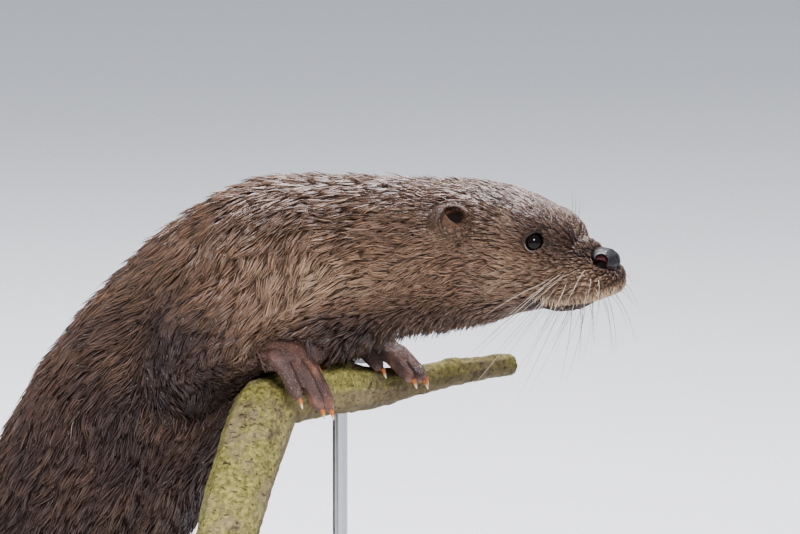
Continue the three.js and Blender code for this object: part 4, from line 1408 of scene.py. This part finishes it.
def build_perch(settings):
    """Makes the branch, with bark, knots, moss and sawn ends, and painted shade under it, on its far arm and
    in its furrows and cracks.
    """
    names = ("perch_near_arm", "perch_far_arm")
    perch = to_object(merged_nodes(names, BRANCH_SWELL), "branch")
    fuse(perch, BRANCH_GRAIN)
    relax(perch, 12)
    points, normals = points_of(perch.data), normals_of(perch.data)
    marks = to_marks(points)
    _, y, z = marks.T
    end = smooth_step(-93, -96, z) * (y < -90)
    end = np.maximum(end, smooth_step(147, 149, y))
    knots = sum(near(marks, *knot) for knot in BRANCH_KNOTS)
    bark = crust(marks, (0.10, 0.035, 0.045), 5)
    fine = crust(marks, (0.5, 0.22, 0.26), 3)
    rise = (0.9 * bark + 0.35 * fine) * (1 - end) + 1.2 * knots
    rise = np.minimum(rise, 1.2)
    move_to(perch.data, points + normals * ((rise - 0.5) * MM)[:, None])
    shade_smooth(perch)
    paint(perch.data, "cut", end)
    paint(perch.data, "ridge", bark)
    paint(perch.data, "top", 0.30 + 0.70 * smooth_step(-0.5, 0.35, normals[:, 2]))
    # Darker underneath and towards the far arm: painted shade.
    below = smooth_step(0.25, -0.7, normals[:, 2])
    paint(perch.data, "shade_below_and_far", np.clip(0.80 * below + 0.78 * smooth_step(0, 45, y), 0, 1) * (1 - end))
    material, nodes, shader = new_material("bark", Roughness=0.72, Specular_IOR_Level=0.35)
    ridge = nodes.number("ridge")
    # Darker in the low parts of the bark's relief: painted shade.
    colours = nodes.mix(nodes.spread(ridge, -0.7, 0.3), TINTS["bark_furrow_shade"], settings.bark_colour)
    flecks = nodes.noise(240, 8, 0.75)
    colours = nodes.mix(nodes.spread(flecks, 0.42, 0.62), colours, TINTS["bark_fleck"])
    moss = nodes.math("MULTIPLY", nodes.spread(nodes.noise(30, 10, 0.78), 0.40, 0.52), nodes.number("top"))
    green = nodes.mix(nodes.spread(nodes.noise(330, 5, 0.7), 0.38, 0.62), TINTS["moss_dark"],
                      settings.moss_colour)
    colours = nodes.mix(moss, colours, green)
    cracks = nodes.spread(nodes.noise(420, 7, 0.75, (0.45, 0.8, 1.5)), 0.33, 0.43)
    # Darker in the cracks: painted shade.
    colours = nodes.mix(nodes.math("SUBTRACT", 1.0, cracks), colours, TINTS["bark_crack_shade"])
    rings = nodes.add("ShaderNodeTexWave", {"Vector": nodes.place(), "Scale": 60.0, "Distortion": 5.0,
                                            "Detail": 3.0}, wave_type="RINGS").outputs["Fac"]
    # Painted shade under the branch and on its far arm.
    colours = nodes.mix(nodes.number("shade_below_and_far"), colours, TINTS["shade_below_and_far"], "MULTIPLY")
    wood = nodes.mix(rings, settings.wood_colour, TINTS["wood_ring"])
    colours = nodes.mix(nodes.number("cut"), colours, wood)
    plug(nodes, colours, shader, "Base Color")
    rough = nodes.math("ADD", nodes.noise(650, 8, 0.75), cracks)
    plug(nodes, nodes.bump(rough, 0.0011, 0.9), shader, "Normal")
    dress(perch, material, *names, slot="bark")


def build_stand(settings):
    """Finishes the painted base and the two steel rods."""
    material, nodes, shader = new_material("painted board", Roughness=0.38, Specular_IOR_Level=0.45,
                                           Coat_Weight=0.25, Coat_Roughness=0.2)
    grain = nodes.noise(90, 4, 0.5)
    tint = nodes.mix(nodes.spread(grain, 0.3, 0.7, 0.0, 0.35), settings.board_colour, TINTS["board_grain"])
    plug(nodes, tint, shader, "Base Color")
    plug(nodes, nodes.bump(nodes.noise(900, 3), 0.00008, 0.5), shader, "Normal")
    board = to_object(merged_nodes(("stand_base",)), "board")
    edge = board.modifiers.new("Edge", "BEVEL")
    edge.width = BOARD_EDGE
    edge.segments = 3
    edge.limit_method = "ANGLE"
    edge.angle_limit = math.radians(50)
    settle(board)
    shade_smooth(board)
    board.data.set_sharp_from_angle(angle=SHARP_ANGLE)
    dress(board, material, "stand_base", slot="board")
    steel, _, shader = new_material("brushed steel", Metallic=1.0, Roughness=0.32)
    shader.inputs["Base Color"].default_value = (0.55, 0.55, 0.56, 1)
    for name in ("stand_rod_near", "stand_rod_far"):
        low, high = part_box(name)
        bm = bmesh.new()
        middle = (low + high) / 2
        bmesh.ops.create_cone(bm, cap_ends=True, segments=40, radius1=(high.x - low.x) / 2,
                              radius2=(high.x - low.x) / 2, depth=high.z - low.z,
                              matrix=Matrix.Translation(middle))
        rod = to_object(bm, name.replace("stand_rod", "rod"))
        shade_smooth(rod)
        rod.data.set_sharp_from_angle(angle=SHARP_ANGLE)
        dress(rod, steel, name, slot="rod_steel")


# ------------------------------------------------------------------ studio
FLOOR_RADIUS = 40
SKY_COLOUR = (0.84, 0.89, 1.0, 1)
SKY_STRENGTH = 0.54
LAMP_COLOUR = (0.98, 0.96, 1.0)
LAMP_AIM = Vector((0.2, 0, 0.3))
# The lamps: width in metres, power in watts, and place.
LAMPS = {"sky": (1.5, 124, (0.1, 0.65, 2.65)), "front": (0.9, 70, (1.3, -2.4, 2.1)),
         "rim": (1.2, 24, (-1.4, 1.6, 1.7))}
# The camera looks along +Y, turned this far towards -X and this far down.
VIEW_TURN = math.radians(23)
VIEW_DIP = math.radians(8)
# The middle of the view, to the right of the landmarks' origin and above it, as the camera sees it.
VIEW_RIGHT = 0.054
VIEW_ABOVE = 0.0798
SENSOR_WIDTH = 36


def build_studio(settings):
    """Sets the floor, the sky, the lamps and the camera."""
    scene = bpy.context.scene
    bm = bmesh.new()
    bmesh.ops.create_circle(bm, cap_ends=True, segments=96, radius=FLOOR_RADIUS)
    floor = to_object(bm, "floor")
    material, _, shader = new_material("studio floor", Roughness=0.85, Specular_IOR_Level=0.2)
    shader.inputs["Base Color"].default_value = (*settings.floor_colour, 1)
    floor.data.materials.append(material)

    world = bpy.data.worlds.new("studio")
    scene.world = world
    world.use_nodes = True
    back = world.node_tree.nodes["Background"]
    back.inputs["Color"].default_value = SKY_COLOUR
    back.inputs["Strength"].default_value = SKY_STRENGTH

    for name, (size, power, place) in LAMPS.items():
        lamp = bpy.data.lights.new(name, "AREA")
        lamp.shape = "DISK"
        lamp.size = size
        lamp.energy = power
        lamp.color = LAMP_COLOUR
        light = bpy.data.objects.new(name, lamp)
        scene.collection.objects.link(light)
        light.location = place
        light.rotation_euler = (LAMP_AIM - Vector(place)).to_track_quat("-Z", "Y").to_euler()

    turn, dip = VIEW_TURN, VIEW_DIP
    right = Vector((math.cos(turn), math.sin(turn), 0))
    above = Vector((-math.sin(turn) * math.sin(dip), math.cos(turn) * math.sin(dip), math.cos(dip)))
    ahead = Vector((-math.sin(turn) * math.cos(dip), math.cos(turn) * math.cos(dip), -math.sin(dip)))
    target = LANDMARKS_AT + right * VIEW_RIGHT + above * VIEW_ABOVE
    lens = bpy.data.cameras.new("camera")
    camera = bpy.data.objects.new("camera", lens)
    scene.collection.objects.link(camera)
    camera.location = target - ahead * settings.camera_distance
    camera.rotation_euler = ahead.to_track_quat("-Z", "Y").to_euler()
    lens.sensor_width = SENSOR_WIDTH
    lens.lens = SENSOR_WIDTH * settings.camera_distance / settings.camera_width
    lens.clip_end = 200
    scene.camera = camera
    scene.view_settings.view_transform = "AgX"
    scene.view_settings.look = "AgX - Medium High Contrast"


# ------------------------------------------------------------------ operators and panel
class OTTER_OT_skin(Operator):
    """Grows one seamless skin over the otter's solids"""
    bl_idname = "otter.skin"
    bl_label = "Skin"

    def execute(self, context):
        build_skin(context.scene.otter_skin)
        return {"FINISHED"}


class OTTER_OT_coat(Operator):
    """Covers the skin with wet, pointed locks"""
    bl_idname = "otter.coat"
    bl_label = "Coat"

    def execute(self, context):
        skin = bpy.data.objects.get("skin")
        if skin is None:
            raise RuntimeError("The coat needs the skin: run Skin first")
        build_coat(context.scene.otter_coat, skin)
        return {"FINISHED"}


class OTTER_OT_face(Operator):
    """Makes the eyes, the nose pad, the whiskers and the claws"""
    bl_idname = "otter.face"
    bl_label = "Eyes, Nose, Whiskers and Claws"

    def execute(self, context):
        skin = bpy.data.objects.get("skin")
        if skin is None:
            raise RuntimeError("The whiskers need the skin: run Skin first")
        settings = context.scene.otter_face
        build_eyes(settings)
        build_nose(settings)
        build_claws(settings)
        build_whiskers(settings, skin)
        return {"FINISHED"}


class OTTER_OT_perch(Operator):
    """Grows bark and moss on the branch"""
    bl_idname = "otter.perch"
    bl_label = "Branch"

    def execute(self, context):
        build_perch(context.scene.otter_perch)
        return {"FINISHED"}


class OTTER_OT_stand(Operator):
    """Finishes the base and the rods that carry the branch"""
    bl_idname = "otter.stand"
    bl_label = "Stand"

    def execute(self, context):
        build_stand(context.scene.otter_stand)
        return {"FINISHED"}


class OTTER_OT_stage(Operator):
    """Sets up the floor, the lights and the camera"""
    bl_idname = "otter.stage"
    bl_label = "Studio"

    def execute(self, context):
        build_studio(context.scene.otter_stand)
        return {"FINISHED"}


class OTTER_PT_panel(Panel):
    """The otter's sizes, colours and building steps"""
    bl_idname = "OTTER_PT_panel"
    bl_label = "Otter"
    bl_space_type = "VIEW_3D"
    bl_region_type = "UI"
    bl_category = "Otter"

    def draw(self, context):
        scene = context.scene
        for title, settings, operators in (
                ("Skin", scene.otter_skin, ("otter.skin",)), ("Coat", scene.otter_coat, ("otter.coat",)),
                ("Face", scene.otter_face, ("otter.face",)), ("Branch", scene.otter_perch, ("otter.perch",)),
                ("Stand", scene.otter_stand, ("otter.stand", "otter.stage"))):
            box = self.layout.box()
            box.label(text=title)
            for name in settings.__annotations__:
                box.prop(settings, name)
            for operator in operators:
                box.operator(operator)


GROUPS = {"otter_skin": OtterSkinSettings, "otter_coat": OtterCoatSettings, "otter_face": OtterFaceSettings,
          "otter_perch": OtterPerchSettings, "otter_stand": OtterStandSettings}
CLASSES = (*GROUPS.values(), OTTER_OT_skin, OTTER_OT_coat, OTTER_OT_face, OTTER_OT_perch, OTTER_OT_stand,
           OTTER_OT_stage, OTTER_PT_panel)


def register():
    for each in CLASSES:
        bpy.utils.register_class(each)
    for name, group in GROUPS.items():
        setattr(bpy.types.Scene, name, PointerProperty(type=group))


def unregister():
    for name in GROUPS:
        delattr(bpy.types.Scene, name)
    for each in reversed(CLASSES):
        bpy.utils.unregister_class(each)


def main():
    register()
    bpy.ops.otter.skin()
    bpy.ops.otter.coat()
    bpy.ops.otter.face()
    bpy.ops.otter.perch()
    bpy.ops.otter.stand()
    bpy.ops.otter.stage()


if __name__ == "__main__":
    main()
